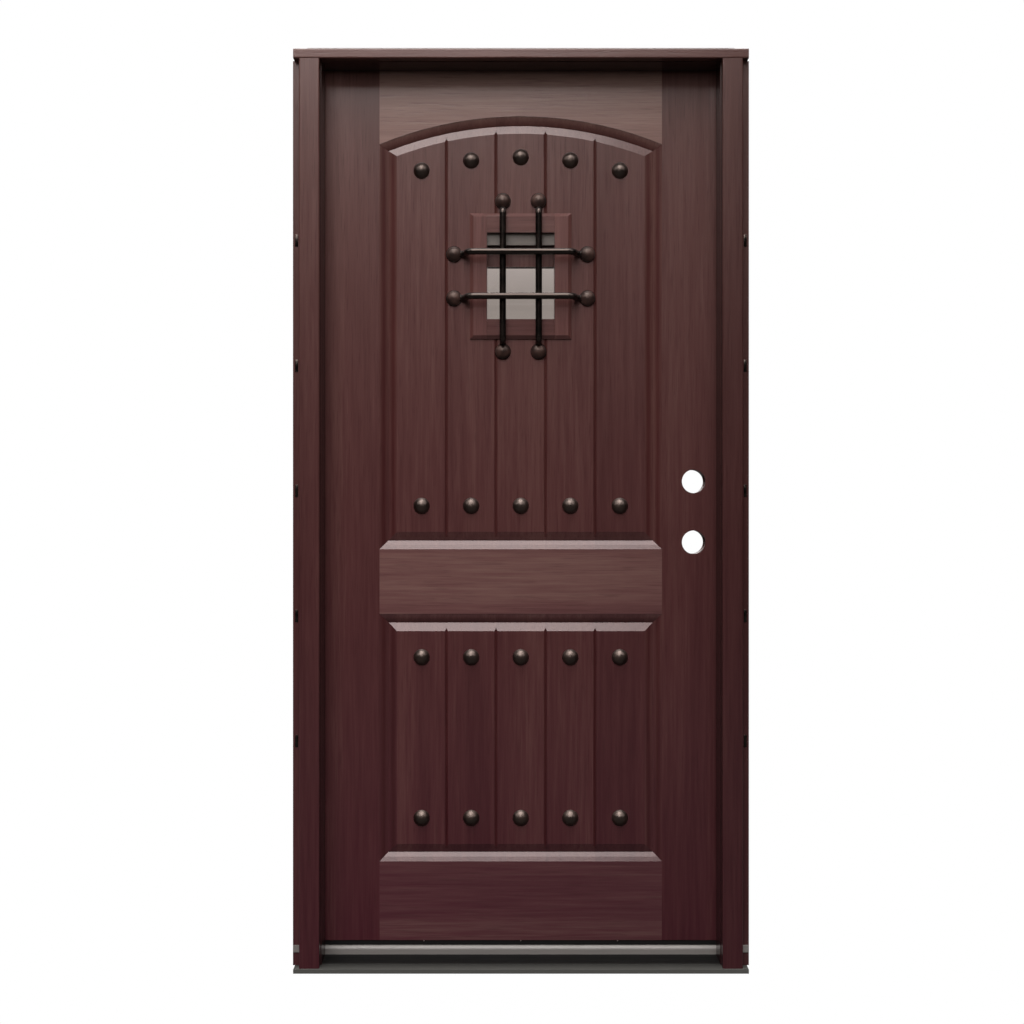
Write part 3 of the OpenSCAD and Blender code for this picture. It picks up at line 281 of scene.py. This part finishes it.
def stainFinish(name, grain, lift):
    material, tree, place = newFinish(name)
    isSlab = grain == "slab"
    if isSlab:
        isRail, pool, shadeAndGrooveStain, grainPlace = readSlab(tree, place)
    else:
        grainPlace = alongGrain(tree, place, grain)
    split = addNode(tree, "SeparateXYZ", {0: place})
    x, z = split.outputs["X"], split.outputs["Z"]
    figure = addNode(tree, "TexNoise", {"Vector": grainPlace, "Scale": perMetre(oakGrain["figureMm"]),
                                        "Detail": oakGrain["figureDetail"],
                                        "Distortion": oakGrain["figureWarp"]}).outputs["Fac"]
    lines = addNode(tree, "TexNoise", {"Vector": grainPlace, "Scale": perMetre(oakGrain["lineMm"]),
                                       "Detail": oakGrain["lineDetail"],
                                       "Roughness": oakGrain["lineRoughness"]}).outputs["Fac"]
    pores = addNode(tree, "TexNoise", {"Vector": grainPlace, "Scale": perMetre(oakGrain["poreMm"]),
                                       "Detail": oakGrain["poreDetail"]}).outputs["Fac"]
    poreMask = addNode(tree, "MapRange", {"Value": pores, "From Min": oakGrain["poreFrom"],
                                          "From Max": oakGrain["poreFull"]}).outputs[0]
    broad = addNode(tree, "Math", {"operation": "MULTIPLY", 0: figure, 1: oakGrain["figureShare"]}).outputs[0]
    weight = addNode(tree, "Math", {"operation": "MULTIPLY_ADD", 0: lines, 1: oakGrain["lineShare"],
                                    2: broad}).outputs[0]
    ramp = addNode(tree, "ValToRGB", {"Fac": weight})
    stops = ramp.color_ramp.elements
    stops[0].position = stain["darkAt"]
    stops[0].color = hexColor(stain["dark"])
    stops[1].position = stain["paleAt"]
    stops[1].color = hexColor(stain["pale"])
    stops.new(stain["midAt"]).color = hexColor(stain["mid"])
    # painted shade darkens and reddens the stain towards the foot of the door, and painted sheen greys and
    # lightens it towards the top
    rise = addNode(tree, "MapRange", {"Value": z, "From Max": stain["topOfDoor"]}).outputs[0]
    tint = addNode(tree, "Mix", {"data_type": "RGBA", 0: rise, 6: hexColor(stain["footShade"]),
                                 7: hexColor(stain["headSheen"])}).outputs[2]
    heightShadedColour = addNode(tree, "Mix", {"data_type": "RGBA", 0: stain["shadeAndSheenShare"], 6: ramp.outputs["Color"],
                                   7: tint}).outputs[2]
    poreShare = addNode(tree, "Math", {"operation": "MULTIPLY", 0: poreMask,
                                       1: oakGrain["poreStain"]}).outputs[0]
    inPores = addNode(tree, "Mix", {"data_type": "RGBA", 0: poreShare, 6: heightShadedColour,
                                    7: hexColor(stain["dark"])}).outputs[2]
    # painted shade: the colour is scaled darker across the door towards the lock side
    side = addNode(tree, "MapRange", {"Value": x, "From Min": -stain["halfWidth"],
                                      "From Max": stain["halfWidth"], "To Min": lift * stain["hingeSideLight"],
                                      "To Max": lift * stain["lockSideShade"]}).outputs[0]
    color = addNode(tree, "VectorMath", {"operation": "SCALE", 0: inPores, "Scale": side}).outputs[0]
    height = addNode(tree, "Math", {"operation": "MULTIPLY_ADD", 0: poreMask, 1: oakGrain["poreHeight"],
                                    2: lines}).outputs[0]
    normal = addNode(tree, "Bump", {"Height": height, "Strength": oakGrain["bump"],
                                    "Distance": oakGrain["bumpDepth"]}).outputs["Normal"]
    if isSlab:
        # painted sheen: rails lighter than the stiles, stronger towards the top under the head
        railSheen = addNode(tree, "Mix", {"data_type": "VECTOR", 0: rise, 4: stain["railSheenFoot"],
                                     5: stain["railSheenHead"]}).outputs[1]
        sheenedRails = addNode(tree, "VectorMath", {"operation": "MULTIPLY", 0: color, 1: railSheen}).outputs[0]
        # painted shade and groove stain keep more of their red than of their green and blue
        redder = addNode(tree, "Math", {"operation": "POWER", 0: shadeAndGrooveStain, 1: shadeStainAndPool["redKept"]}).outputs[0]
        shadeByChannel = addNode(tree, "CombineXYZ", {"X": redder, "Y": shadeAndGrooveStain, "Z": shadeAndGrooveStain}).outputs[0]
        shadedFace = addNode(tree, "VectorMath", {"operation": "MULTIPLY", 0: color, 1: shadeByChannel}).outputs[0]
        color = addNode(tree, "Mix", {"data_type": "VECTOR", 0: isRail, 4: shadedFace, 5: sheenedRails}).outputs[1]
        normal = addNode(tree, "Bump", {"Height": pool, "Normal": normal, "Strength": shadeStainAndPool["poolBump"],
                                        "Distance": shadeStainAndPool["poolRise"]}).outputs["Normal"]
    rough = addNode(tree, "MapRange", {"Value": lines, "To Min": stain["roughLeast"],
                                       "To Max": stain["roughMost"]}).outputs[0]
    showSurface(tree, {"Base Color": color, "Roughness": rough, "Specular IOR Level": stain["specular"],
                       "Specular Tint": stain["sheenTint"], "Normal": normal})
    return material


# which way the grain of each stained finish runs, and how pale it is beside the slab; the jamb's and the
# head's copies are darkened as painted shade of the reveals and the soffit
stainLooks = {
    "stainedSlab": ("slab", 1.0), "stainedUpright": ("up", 0.86), "stainedFin": ("up", 0.75),
    "jambStainPaintedShade": ("up", 0.48), "headStainPaintedShade": ("across", 0.3), "stainedLevel": ("across", 1.0),
    "stainedTrim": ("up", 1.35), "stainedRailTrim": ("across", 1.1),
}


# forged iron: hammered, then dipped in a satin lacquer; bars stay black, and heads rub brown,
# those of the grille most
ironLooks = {
    "barIron": {"lacquer": "#060505", "rubbed": "#150F0D", "roughness": 0.18, "specular": 0.45},
    "headIron": {"lacquer": "#080403", "rubbed": "#1C110D", "roughness": 0.33, "specular": 0.85},
    "nailIron": {"lacquer": "#1F1412", "rubbed": "#402B26", "roughness": 0.36, "specular": 0.4},
}
forging = {
    "hammerMm": 7.0, "hammerBlur": 0.6, "dent": 0.15, "dentDepth": 0.0012,
    "wearMm": 22.0, "wearDetail": 4.0, "wearFrom": 0.42, "wearFull": 0.72,
    "roughLess": 0.06, "roughMore": 0.14, "sheenTint": (1.0, 0.76, 0.66, 1.0),
}


def ironFinish(name):
    look = ironLooks[name]
    material, tree, place = newFinish(name)
    dents = addNode(tree, "TexVoronoi", {"feature": "SMOOTH_F1", "Vector": place,
                                         "Scale": perMetre(forging["hammerMm"]),
                                         "Smoothness": forging["hammerBlur"]}).outputs["Distance"]
    wear = addNode(tree, "TexNoise", {"Vector": place, "Scale": perMetre(forging["wearMm"]),
                                      "Detail": forging["wearDetail"]}).outputs["Fac"]
    worn = addNode(tree, "MapRange", {"Value": wear, "From Min": forging["wearFrom"],
                                      "From Max": forging["wearFull"]}).outputs[0]
    color = addNode(tree, "Mix", {"data_type": "RGBA", 0: worn, 6: hexColor(look["lacquer"]),
                                  7: hexColor(look["rubbed"])}).outputs[2]
    rough = addNode(tree, "MapRange", {"Value": wear, "To Min": look["roughness"] - forging["roughLess"],
                                       "To Max": look["roughness"] + forging["roughMore"]}).outputs[0]
    normal = addNode(tree, "Bump", {"Height": dents, "Strength": forging["dent"],
                                    "Distance": forging["dentDepth"]}).outputs["Normal"]
    showSurface(tree, {"Base Color": color, "Roughness": rough, "Specular IOR Level": look["specular"],
                       "Specular Tint": forging["sheenTint"], "Normal": normal})
    return material


# plain metals, rubber, timber and foam: each a colour pair broken by a pattern of its own size
plainLooks = {
    # extruded aluminium, brushed along its length
    "brushedAluminium": {"a": "#635D5A", "b": "#716C68", "metallic": 0.1, "specular": 0.5, "roughness": 0.5,
                         "grain": (0.02, 1, 1), "mm": 1.6, "bump": 0.10},
    # moulded vinyl of the sleeve through the slab: greyer than the stain round it
    "sleeveVinyl": {"a": "#4A413B", "b": "#584D46", "metallic": 0.0, "specular": 0.5, "roughness": 0.45,
                    "grain": (1, 1, 1), "mm": 6.0, "bump": 0.06},
    # satin plated steel with a drawn grain
    "platedSteel": {"a": "#6B655E", "b": "#918A81", "metallic": 1.0, "specular": 0.5, "roughness": 0.38,
                    "grain": (1, 1, 0.06), "mm": 1.2, "bump": 0.08},
    # foamed rubber seals, matte and slightly pitted
    "sealRubber": {"a": "#070606", "b": "#0E0C0B", "metallic": 0.0, "specular": 0.15, "roughness": 0.75,
                   "grain": (1, 1, 1), "mm": 2.0, "bump": 0.15},
    # grey composite of the sill's body
    "sillComposite": {"a": "#3B3734", "b": "#4A4541", "metallic": 0.0, "specular": 0.5, "roughness": 0.7,
                      "grain": (0.3, 1, 1), "mm": 4.0, "bump": 0.12},
    # laminated stiles, seen at the slab's edges: stained to match
    "edgeTimber": {"a": "#3C2320", "b": "#5A3A33", "metallic": 0.0, "specular": 0.5, "roughness": 0.55,
                   "grain": (1, 1, 0.03), "mm": 3.0, "bump": 0.2},
    # cut polyurethane foam
    "slabFoam": {"a": "#CDBE93", "b": "#DDD0AA", "metallic": 0.0, "specular": 0.5, "roughness": 0.9,
                 "grain": (1, 1, 1), "mm": 3.0, "bump": 0.3},
}
plainPattern = {"detail": 3.0, "roughSpread": 0.06, "bumpDepth": 0.0004}


def plainFinish(name):
    look = plainLooks[name]
    material, tree, place = newFinish(name)
    drawn = addNode(tree, "VectorMath", {"operation": "MULTIPLY", 0: place, 1: look["grain"]}).outputs[0]
    pattern = addNode(tree, "TexNoise", {"Vector": drawn, "Scale": perMetre(look["mm"]),
                                         "Detail": plainPattern["detail"]}).outputs["Fac"]
    color = addNode(tree, "Mix", {"data_type": "RGBA", 0: pattern, 6: hexColor(look["a"]),
                                  7: hexColor(look["b"])}).outputs[2]
    rough = addNode(tree, "MapRange", {"Value": pattern,
                                       "To Min": look["roughness"] - plainPattern["roughSpread"],
                                       "To Max": look["roughness"] + plainPattern["roughSpread"]}).outputs[0]
    normal = addNode(tree, "Bump", {"Height": pattern, "Strength": look["bump"],
                                    "Distance": plainPattern["bumpDepth"]}).outputs["Normal"]
    showSurface(tree, {"Base Color": color, "Metallic": look["metallic"], "Roughness": rough,
                       "Specular IOR Level": look["specular"], "Normal": normal})
    return material


# bronze-grey tread: painted shade darkens it to nearly black by the door and fades out towards the nose
tread = {
    # shadeByDoor is painted shade, treadGrey the tread's own colour
    "shadeByDoor": "#0B0A0A", "treadGrey": "#4A4946", "backY": 0.014, "noseY": -0.030, "uneven": 0.2,
    "grain": (0.05, 1, 1), "grainMm": 3.0, "grainDetail": 3.0, "roughness": 0.5, "specular": 0.05,
    "bump": 0.08, "bumpDepth": 0.0004,
}


def treadFinish(name):
    material, tree, place = newFinish(name)
    drawn = addNode(tree, "VectorMath", {"operation": "MULTIPLY", 0: place, 1: tread["grain"]}).outputs[0]
    pattern = addNode(tree, "TexNoise", {"Vector": drawn, "Scale": perMetre(tread["grainMm"]),
                                         "Detail": tread["grainDetail"]}).outputs["Fac"]
    depth = addNode(tree, "SeparateXYZ", {0: place}).outputs["Y"]
    # painted shade: full at backY by the door, gone at noseY by the nose
    worn = addNode(tree, "MapRange", {"Value": depth, "From Min": tread["backY"],
                                      "From Max": tread["noseY"]}).outputs[0]
    uneven = addNode(tree, "Math", {"operation": "MULTIPLY_ADD", 0: pattern, 1: tread["uneven"],
                                    2: -tread["uneven"] / 2}).outputs[0]
    share = addNode(tree, "Math", {"operation": "ADD", "use_clamp": True, 0: worn, 1: uneven}).outputs[0]
    color = addNode(tree, "Mix", {"data_type": "RGBA", 0: share, 6: hexColor(tread["shadeByDoor"]),
                                  7: hexColor(tread["treadGrey"])}).outputs[2]
    normal = addNode(tree, "Bump", {"Height": pattern, "Strength": tread["bump"],
                                    "Distance": tread["bumpDepth"]}).outputs["Normal"]
    showSurface(tree, {"Base Color": color, "Roughness": tread["roughness"],
                       "Specular IOR Level": tread["specular"], "Normal": normal})
    return material


# float glass, lightly smoked, with a trace of dust that settles towards its foot
pane = {
    "tint": "#AEA39E", "dust": "#938983", "clearZ": 1.60, "dustyZ": 1.50, "hazeMm": 60.0, "hazeDetail": 3.0,
    "hazeShare": 0.3, "roughness": 0.03, "transmission": 1.0, "ior": 1.5,
}


def glassFinish(name):
    material, tree, place = newFinish(name)
    haze = addNode(tree, "TexNoise", {"Vector": place, "Scale": perMetre(pane["hazeMm"]),
                                      "Detail": pane["hazeDetail"]}).outputs["Fac"]
    height = addNode(tree, "SeparateXYZ", {0: place}).outputs["Z"]
    settled = addNode(tree, "MapRange", {"Value": height, "From Min": pane["clearZ"],
                                         "From Max": pane["dustyZ"]}).outputs[0]
    share = addNode(tree, "Math", {"operation": "MULTIPLY_ADD", "use_clamp": True, 0: haze,
                                   1: pane["hazeShare"], 2: settled}).outputs[0]
    color = addNode(tree, "Mix", {"data_type": "RGBA", 0: share, 6: hexColor(pane["tint"]),
                                  7: hexColor(pane["dust"])}).outputs[2]
    showSurface(tree, {"Base Color": color, "Roughness": pane["roughness"], "IOR": pane["ior"],
                       "Transmission Weight": pane["transmission"]})
    return material


finishes = {name: stainFinish(name, *look) for name, look in stainLooks.items()}
finishes.update({name: ironFinish(name) for name in ironLooks})
finishes.update({name: plainFinish(name) for name in plainLooks})
finishes["smokedGlass"] = glassFinish("smokedGlass")
finishes["shadedTread"] = treadFinish("shadedTread")

hingeWords = ("plate", "pin", "screws")
hingeParts = [name for name in nodes if "hinge_" in name and any(word in name for word in hingeWords)]
painted = {
    "stainedSlab": ["exterior_skin", "interior_skin"],
    "jambStainPaintedShade": ["hinge_jamb", "strike_jamb"],
    "headStainPaintedShade": ["head_jamb"],
    "stainedUpright": ["hinge_side_casing", "strike_side_casing"],
    "stainedFin": ["hinge_side_fin", "strike_side_fin"],
    "stainedLevel": ["head_casing"],
    "stainedTrim": ["speakeasy_left_stile", "speakeasy_right_stile", "speakeasy_inner_trim", "sash_frame",
                    "glazing_bead"],
    "stainedRailTrim": ["speakeasy_top_rail", "speakeasy_bottom_rail"],
    "sleeveVinyl": ["speakeasy_sleeve"],
    "smokedGlass": ["sash_glass"],
    "headIron": ["arched_panel_clavos", "lower_panel_clavos"],
    "nailIron": ["grille_nails"],
    "barIron": ["grille_left_upright", "grille_right_upright", "grille_upper_crossbar",
                "grille_lower_crossbar", "bolt_keeper", "bolt_barrel", "fixing_clips"],
    "platedSteel": hingeParts + ["sill_cap_screws", "frame_screws", "sweep_screws", "barrel_bolt"],
    "brushedAluminium": ["sill_cap"],
    "shadedTread": ["sill_tread"],
    "sillComposite": ["sill_base"],
    "sealRubber": ["hinge_weatherstrip", "strike_weatherstrip", "head_weatherstrip", "corner_pads",
                   "door_sweep"],
    "edgeTimber": ["hinge_stile", "lock_stile", "top_rail", "bottom_rail"],
    "slabFoam": ["foam_core"],
}
for finishName, pieceNames in painted.items():
    for pieceName in pieceNames:
        piece = nodes[pieceName]
        if not piece.material_slots:
            piece.data.materials.append(finishes[finishName])
        for slot in piece.material_slots:
            slot.material = finishes[finishName]
print("materials on", sum(map(len, painted.values())), "nodes")


# small helpers for pieces: edges eased, one master copied to its places and joined, and the master let go
def easeEdges(piece, look):
    bpy.ops.object.modifier_add(type="BEVEL")
    ease = piece.modifiers[-1]
    ease.width = look["ease"]
    ease.segments = look["easeSteps"]
    ease.limit_method = "ANGLE"
    ease.angle_limit = math.radians(look["smoothDegrees"])
    bpy.ops.object.modifier_apply(modifier=ease.name)
    bpy.ops.object.shade_smooth_by_angle(angle=math.radians(look["smoothDegrees"]))


def copyTo(spots, master, name, finish, dice=None):
    copies = []
    for spot in spots:
        bpy.ops.object.select_all(action="DESELECT")
        master.select_set(True)
        bpy.context.view_layer.objects.active = master
        bpy.ops.object.duplicate()
        if dice:
            bpy.ops.transform.rotate(value=dice.uniform(0, 2 * math.pi), orient_axis="Y",
                                     center_override=(0, 0, 0))
        bpy.ops.transform.translate(value=spot)
        bpy.ops.object.transform_apply(location=True, rotation=True, scale=True)
        copies.append(bpy.context.object)
    bpy.ops.object.select_all(action="DESELECT")
    for copy in copies:
        copy.select_set(True)
    bpy.context.view_layer.objects.active = copies[0]
    bpy.ops.object.join()
    group = bpy.context.object
    group.name = name
    group.data.materials.append(finishes[finish])
    return group


def dropMasters(*masters):
    bpy.ops.object.select_all(action="DESELECT")
    for master in masters:
        master.select_set(True)
    bpy.ops.object.delete()


# hand-forged nail heads: a dome struck to flats while hot, no two turned the same way
forgedHead = {
    "segments": 28, "rings": 18, "flats": 10, "biteLeast": 0.012, "biteMost": 0.034,
    "leanLeast": 12.0, "leanMost": 60.0, "turnStep": 2.4, "turnJitter": 0.3,
    "ease": 0.0006, "easeSteps": 2, "smoothDegrees": 24.0,
}
clavos = {
    "radius": 0.019, "rise": 0.013, "fieldY": 0.07265, "seed": 3, "archTurns": 11, "lowerTurns": 12,
    "eachSide": 2, "archFoot": 1.0405, "archInset": 0.0935, "lowerRows": (0.693, 0.324),
}
grilleNails = {
    "radius": 0.0178, "rise": 0.0108, "padY": 0.0695, "seed": 8, "turns": 13, "middle": 1.56725,
    "uprightX": 0.041, "uprightReach": 0.1725, "crossZ": 0.0505, "crossReach": 0.153,
}


def forgeHead(name, look):
    rise = look["rise"]
    ball = (look["radius"] ** 2 + rise ** 2) / (2 * rise)
    dice = random.Random(look["seed"])
    bpy.ops.object.select_all(action="DESELECT")
    bpy.ops.mesh.primitive_uv_sphere_add(segments=forgedHead["segments"], ring_count=forgedHead["rings"],
                                         radius=ball, location=(0, 0, 0))
    head = bpy.context.object
    head.name = name
    bpy.ops.object.mode_set(mode="EDIT")
    bpy.ops.mesh.select_all(action="SELECT")
    bpy.ops.mesh.bisect(plane_co=(0, rise - ball, 0), plane_no=(0, 1, 0), use_fill=True, clear_outer=True)
    for strike in range(forgedHead["flats"]):
        jitter = dice.uniform(-forgedHead["turnJitter"], forgedHead["turnJitter"])
        turn = strike * forgedHead["turnStep"] + jitter
        lean = math.radians(dice.uniform(forgedHead["leanLeast"], forgedHead["leanMost"]))
        aim = Vector((math.sin(lean) * math.cos(turn), -math.cos(lean), math.sin(lean) * math.sin(turn)))
        depth = ball * (1 - dice.uniform(forgedHead["biteLeast"], forgedHead["biteMost"]))
        bpy.ops.mesh.select_all(action="SELECT")
        bpy.ops.mesh.bisect(plane_co=aim * depth, plane_no=aim, use_fill=True, clear_outer=True)
    bpy.ops.mesh.select_all(action="SELECT")
    bpy.ops.transform.translate(value=(0, ball - rise, 0))
    bpy.ops.mesh.normals_make_consistent(inside=False)
    bpy.ops.object.mode_set(mode="OBJECT")
    easeEdges(head, forgedHead)
    return head


def setHeads(name, master, spots, node, finish, turns):
    group = copyTo(spots, master, name, finish, random.Random(turns))
    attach(group, "door")
    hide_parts(node)


clavoMaster = forgeHead("clavoMaster", clavos)
columns = [step * slabFace["plankWidth"] for step in range(-clavos["eachSide"], clavos["eachSide"] + 1)]
archRow = [slabFace["archCentre"] + math.sqrt(slabFace["archRadius"] ** 2 - x ** 2) - clavos["archInset"]
           for x in columns]
archSpots = [(x, clavos["fieldY"], z) for x, z in zip(columns, archRow)]
archSpots += [(x, clavos["fieldY"], clavos["archFoot"]) for x in columns]
lowSpots = [(x, clavos["fieldY"], z) for z in clavos["lowerRows"] for x in columns]
setHeads("archedClavos", clavoMaster, archSpots, "arched_panel_clavos", "headIron", clavos["archTurns"])
setHeads("lowerClavos", clavoMaster, lowSpots, "lower_panel_clavos", "headIron", clavos["lowerTurns"])
nailMaster = forgeHead("nailMaster", grilleNails)
nailSpots = [(a * across, grilleNails["padY"], grilleNails["middle"] + b * up)
             for across, up in ((grilleNails["uprightX"], grilleNails["uprightReach"]),
                                (grilleNails["crossReach"], grilleNails["crossZ"]))
             for a in (-1, 1) for b in (-1, 1)]
setHeads("grilleNailHeads", nailMaster, nailSpots, "grille_nails", "nailIron", grilleNails["turns"])
dropMasters(clavoMaster, nailMaster)
print("nail heads forged:", len(archSpots) + len(lowSpots) + len(nailSpots))


# snap-on covers of the fixing holes in the fins: a blackened clip with a sunk face
cover = {
    "size": (0.0075, 0.002, 0.028), "rim": 0.0012, "sink": 0.0004, "ease": 0.0004, "easeSteps": 2,
    "smoothDegrees": 30.0, "x": 0.50295, "frontY": -0.005, "firstZ": 0.513, "pitch": 0.2805, "count": 5,
}
# folded tabs of the sill's cap, lapped over the foot of each fin
capTab = {
    "size": (0.0145, 0.0025, 0.0165), "rim": 0.0022, "sink": 0.0003, "ease": 0.0008, "easeSteps": 2,
    "smoothDegrees": 30.0, "x": 0.5032, "frontY": -0.0055, "z": 0.0475,
}
facesFront = -0.5   # a face whose normal points further out than this is the plate's front


def makePlate(name, look):
    bpy.ops.object.select_all(action="DESELECT")
    bpy.ops.mesh.primitive_cube_add(size=1.0, location=(0, look["size"][1] / 2, 0))
    plate = bpy.context.object
    plate.name = name
    plate.scale = look["size"]
    bpy.ops.object.transform_apply(location=True, rotation=True, scale=True)
    for face in plate.data.polygons:
        face.select = face.normal.y < facesFront
    bpy.ops.object.mode_set(mode="EDIT")
    bpy.ops.mesh.select_mode(type="FACE")
    bpy.ops.mesh.inset(thickness=look["rim"], depth=-look["sink"])
    bpy.ops.object.mode_set(mode="OBJECT")
    easeEdges(plate, look)
    return plate


def setPlates(name, master, spots, finish):
    group = copyTo(spots, master, name, finish)
    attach(group, "frame")
    return group


coverMaster = makePlate("coverMaster", cover)
coverSpots = [(side * cover["x"], cover["frontY"], cover["firstZ"] + step * cover["pitch"])
              for side in (-1, 1) for step in range(cover["count"])]
fixingCovers = setPlates("fixingCovers", coverMaster, coverSpots, "barIron")
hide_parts("fixing_clips")
tabMaster = makePlate("tabMaster", capTab)
tabSpots = [(side * capTab["x"], capTab["frontY"], capTab["z"]) for side in (-1, 1)]
setPlates("capTabs", tabMaster, tabSpots, "brushedAluminium")
dropMasters(coverMaster, tabMaster)
print("plates set:", len(coverSpots) + len(tabSpots))


# floor, light and white surroundings
studio = {
    "floorSize": 14.0, "floorGrey": "#3C3B3A", "floorShine": 0.08, "ambient": 0.03, "white": "#FFFFFF",
    "backdrop": 1.0, "curtainReach": 45.0, "curtainSize": 140.0, "curtainGrey": "#141313", "curtainSides": 4,
}


# white for the camera and through the glass
def seenDirectly(tree, path):
    return addNode(tree, "Math", {"operation": "MAXIMUM", 0: path.outputs["Is Camera Ray"],
                                  1: path.outputs["Is Transmission Ray"]}).outputs[0]


bpy.ops.object.select_all(action="DESELECT")
bpy.ops.mesh.primitive_plane_add(size=studio["floorSize"], location=(0, 0, 0))
floor = bpy.context.object
floor.name = "floor"
floorFinish = bpy.data.materials.new("paleFloor")
floorTree = clearTree(floorFinish)
floorPath = addNode(floorTree, "LightPath")
floorDiffuse = addNode(floorTree, "BsdfDiffuse", {"Color": hexColor(studio["floorGrey"])})
floorWhite = addNode(floorTree, "Emission", {"Color": hexColor(studio["white"]),
                                             "Strength": studio["backdrop"]})
floorSeen = addNode(floorTree, "Math", {"operation": "MULTIPLY_ADD", "use_clamp": True,
                                        0: floorPath.outputs["Is Glossy Ray"], 1: studio["floorShine"],
                                        2: seenDirectly(floorTree, floorPath)}).outputs[0]
floorMix = addNode(floorTree, "MixShader", {0: floorSeen, 1: floorDiffuse.outputs[0],
                                            2: floorWhite.outputs[0]})
addNode(floorTree, "OutputMaterial", {"Surface": floorMix.outputs[0]})
floor.data.materials.append(floorFinish)

# a tall bank of sky over the camera lights the face, with two wings that only shine in the satin and the iron.
# The fill leaves no shine, and the others stand behind the wall's line, for the room side and the edges.
lamps = {
    "sky": {"place": (-2.0, -11.6, 17.3), "aim": (0.0, 0.07, 1.0), "size": (12.0, 25.0), "watts": 7300.0,
            "shines": True, "lights": True},
    "west": {"place": (-10.2, -5.4, 17.3), "aim": (0.0, 0.07, 1.0), "size": (12.0, 25.0), "watts": 2500.0,
             "shines": True, "lights": False},
    "east": {"place": (8.3, -8.0, 17.3), "aim": (0.0, 0.07, 1.0), "size": (12.0, 25.0), "watts": 2500.0,
             "shines": True, "lights": False},
    "fill": {"place": (0.2, -4.2, 2.7), "aim": (0.0, 0.07, 0.8), "size": (2.4, 1.6), "watts": 54.0,
             "shines": False, "lights": True},
    "room": {"place": (-0.5, 3.2, 3.6), "aim": (0.0, 0.12, 1.0), "size": (3.6, 2.4), "watts": 220.0,
             "shines": True, "lights": True},
    "left": {"place": (-4.0, 0.9, 2.4), "aim": (0.0, 0.1, 1.0), "size": (2.0, 2.6), "watts": 90.0,
             "shines": False, "lights": True},
    "right": {"place": (4.0, 0.9, 2.4), "aim": (0.0, 0.1, 1.0), "size": (2.0, 2.6), "watts": 90.0,
              "shines": False, "lights": True},
}
for lampName, look in lamps.items():
    lampData = bpy.data.lights.new(lampName + "Lamp", "AREA")
    lampData.shape = "RECTANGLE"
    lampData.size, lampData.size_y = look["size"]
    lampData.energy = look["watts"]
    lamp = bpy.data.objects.new(lampName + "Lamp", lampData)
    lamp.location = look["place"]
    lamp.rotation_euler = (Vector(look["aim"]) - Vector(look["place"])).to_track_quat("-Z", "Y").to_euler()
    lamp.visible_diffuse = look["lights"]
    lamp.visible_glossy = look["shines"]
    lamp.visible_transmission = look["shines"]
    scene.collection.objects.link(lamp)

# dark curtains on all four sides keep the satin stain from going milky; the camera never sees them
curtainFinish = bpy.data.materials.new("darkCurtain")
curtainTree = clearTree(curtainFinish)
curtainCloth = addNode(curtainTree, "BsdfDiffuse", {"Color": hexColor(studio["curtainGrey"])})
addNode(curtainTree, "OutputMaterial", {"Surface": curtainCloth.outputs[0]})
for turn in range(studio["curtainSides"]):
    angle = turn * 2 * math.pi / studio["curtainSides"]
    bpy.ops.object.select_all(action="DESELECT")
    bpy.ops.mesh.primitive_plane_add(size=studio["curtainSize"], rotation=(math.pi / 2, 0, angle),
                                     location=(studio["curtainReach"] * math.sin(angle),
                                               -studio["curtainReach"] * math.cos(angle), 0))
    curtain = bpy.context.object
    curtain.name = "curtain%d" % turn
    curtain.visible_camera = False
    curtain.visible_transmission = False
    curtain.data.materials.append(curtainFinish)

world = bpy.data.worlds.new("whiteRoom")
scene.world = world
skyTree = clearTree(world)
skyPath = addNode(skyTree, "LightPath")
skySeen = addNode(skyTree, "Math", {"operation": "MAXIMUM", 0: seenDirectly(skyTree, skyPath),
                                    1: skyPath.outputs["Is Glossy Ray"]}).outputs[0]
skyDim = addNode(skyTree, "Background", {"Color": hexColor(studio["white"]),
                                         "Strength": studio["ambient"]})
skyWhite = addNode(skyTree, "Background", {"Color": hexColor(studio["white"]),
                                           "Strength": studio["backdrop"]})
skyMix = addNode(skyTree, "MixShader", {0: skySeen, 1: skyDim.outputs[0], 2: skyWhite.outputs[0]})
addNode(skyTree, "OutputWorld", {"Surface": skyMix.outputs[0]})
print("studio lit")
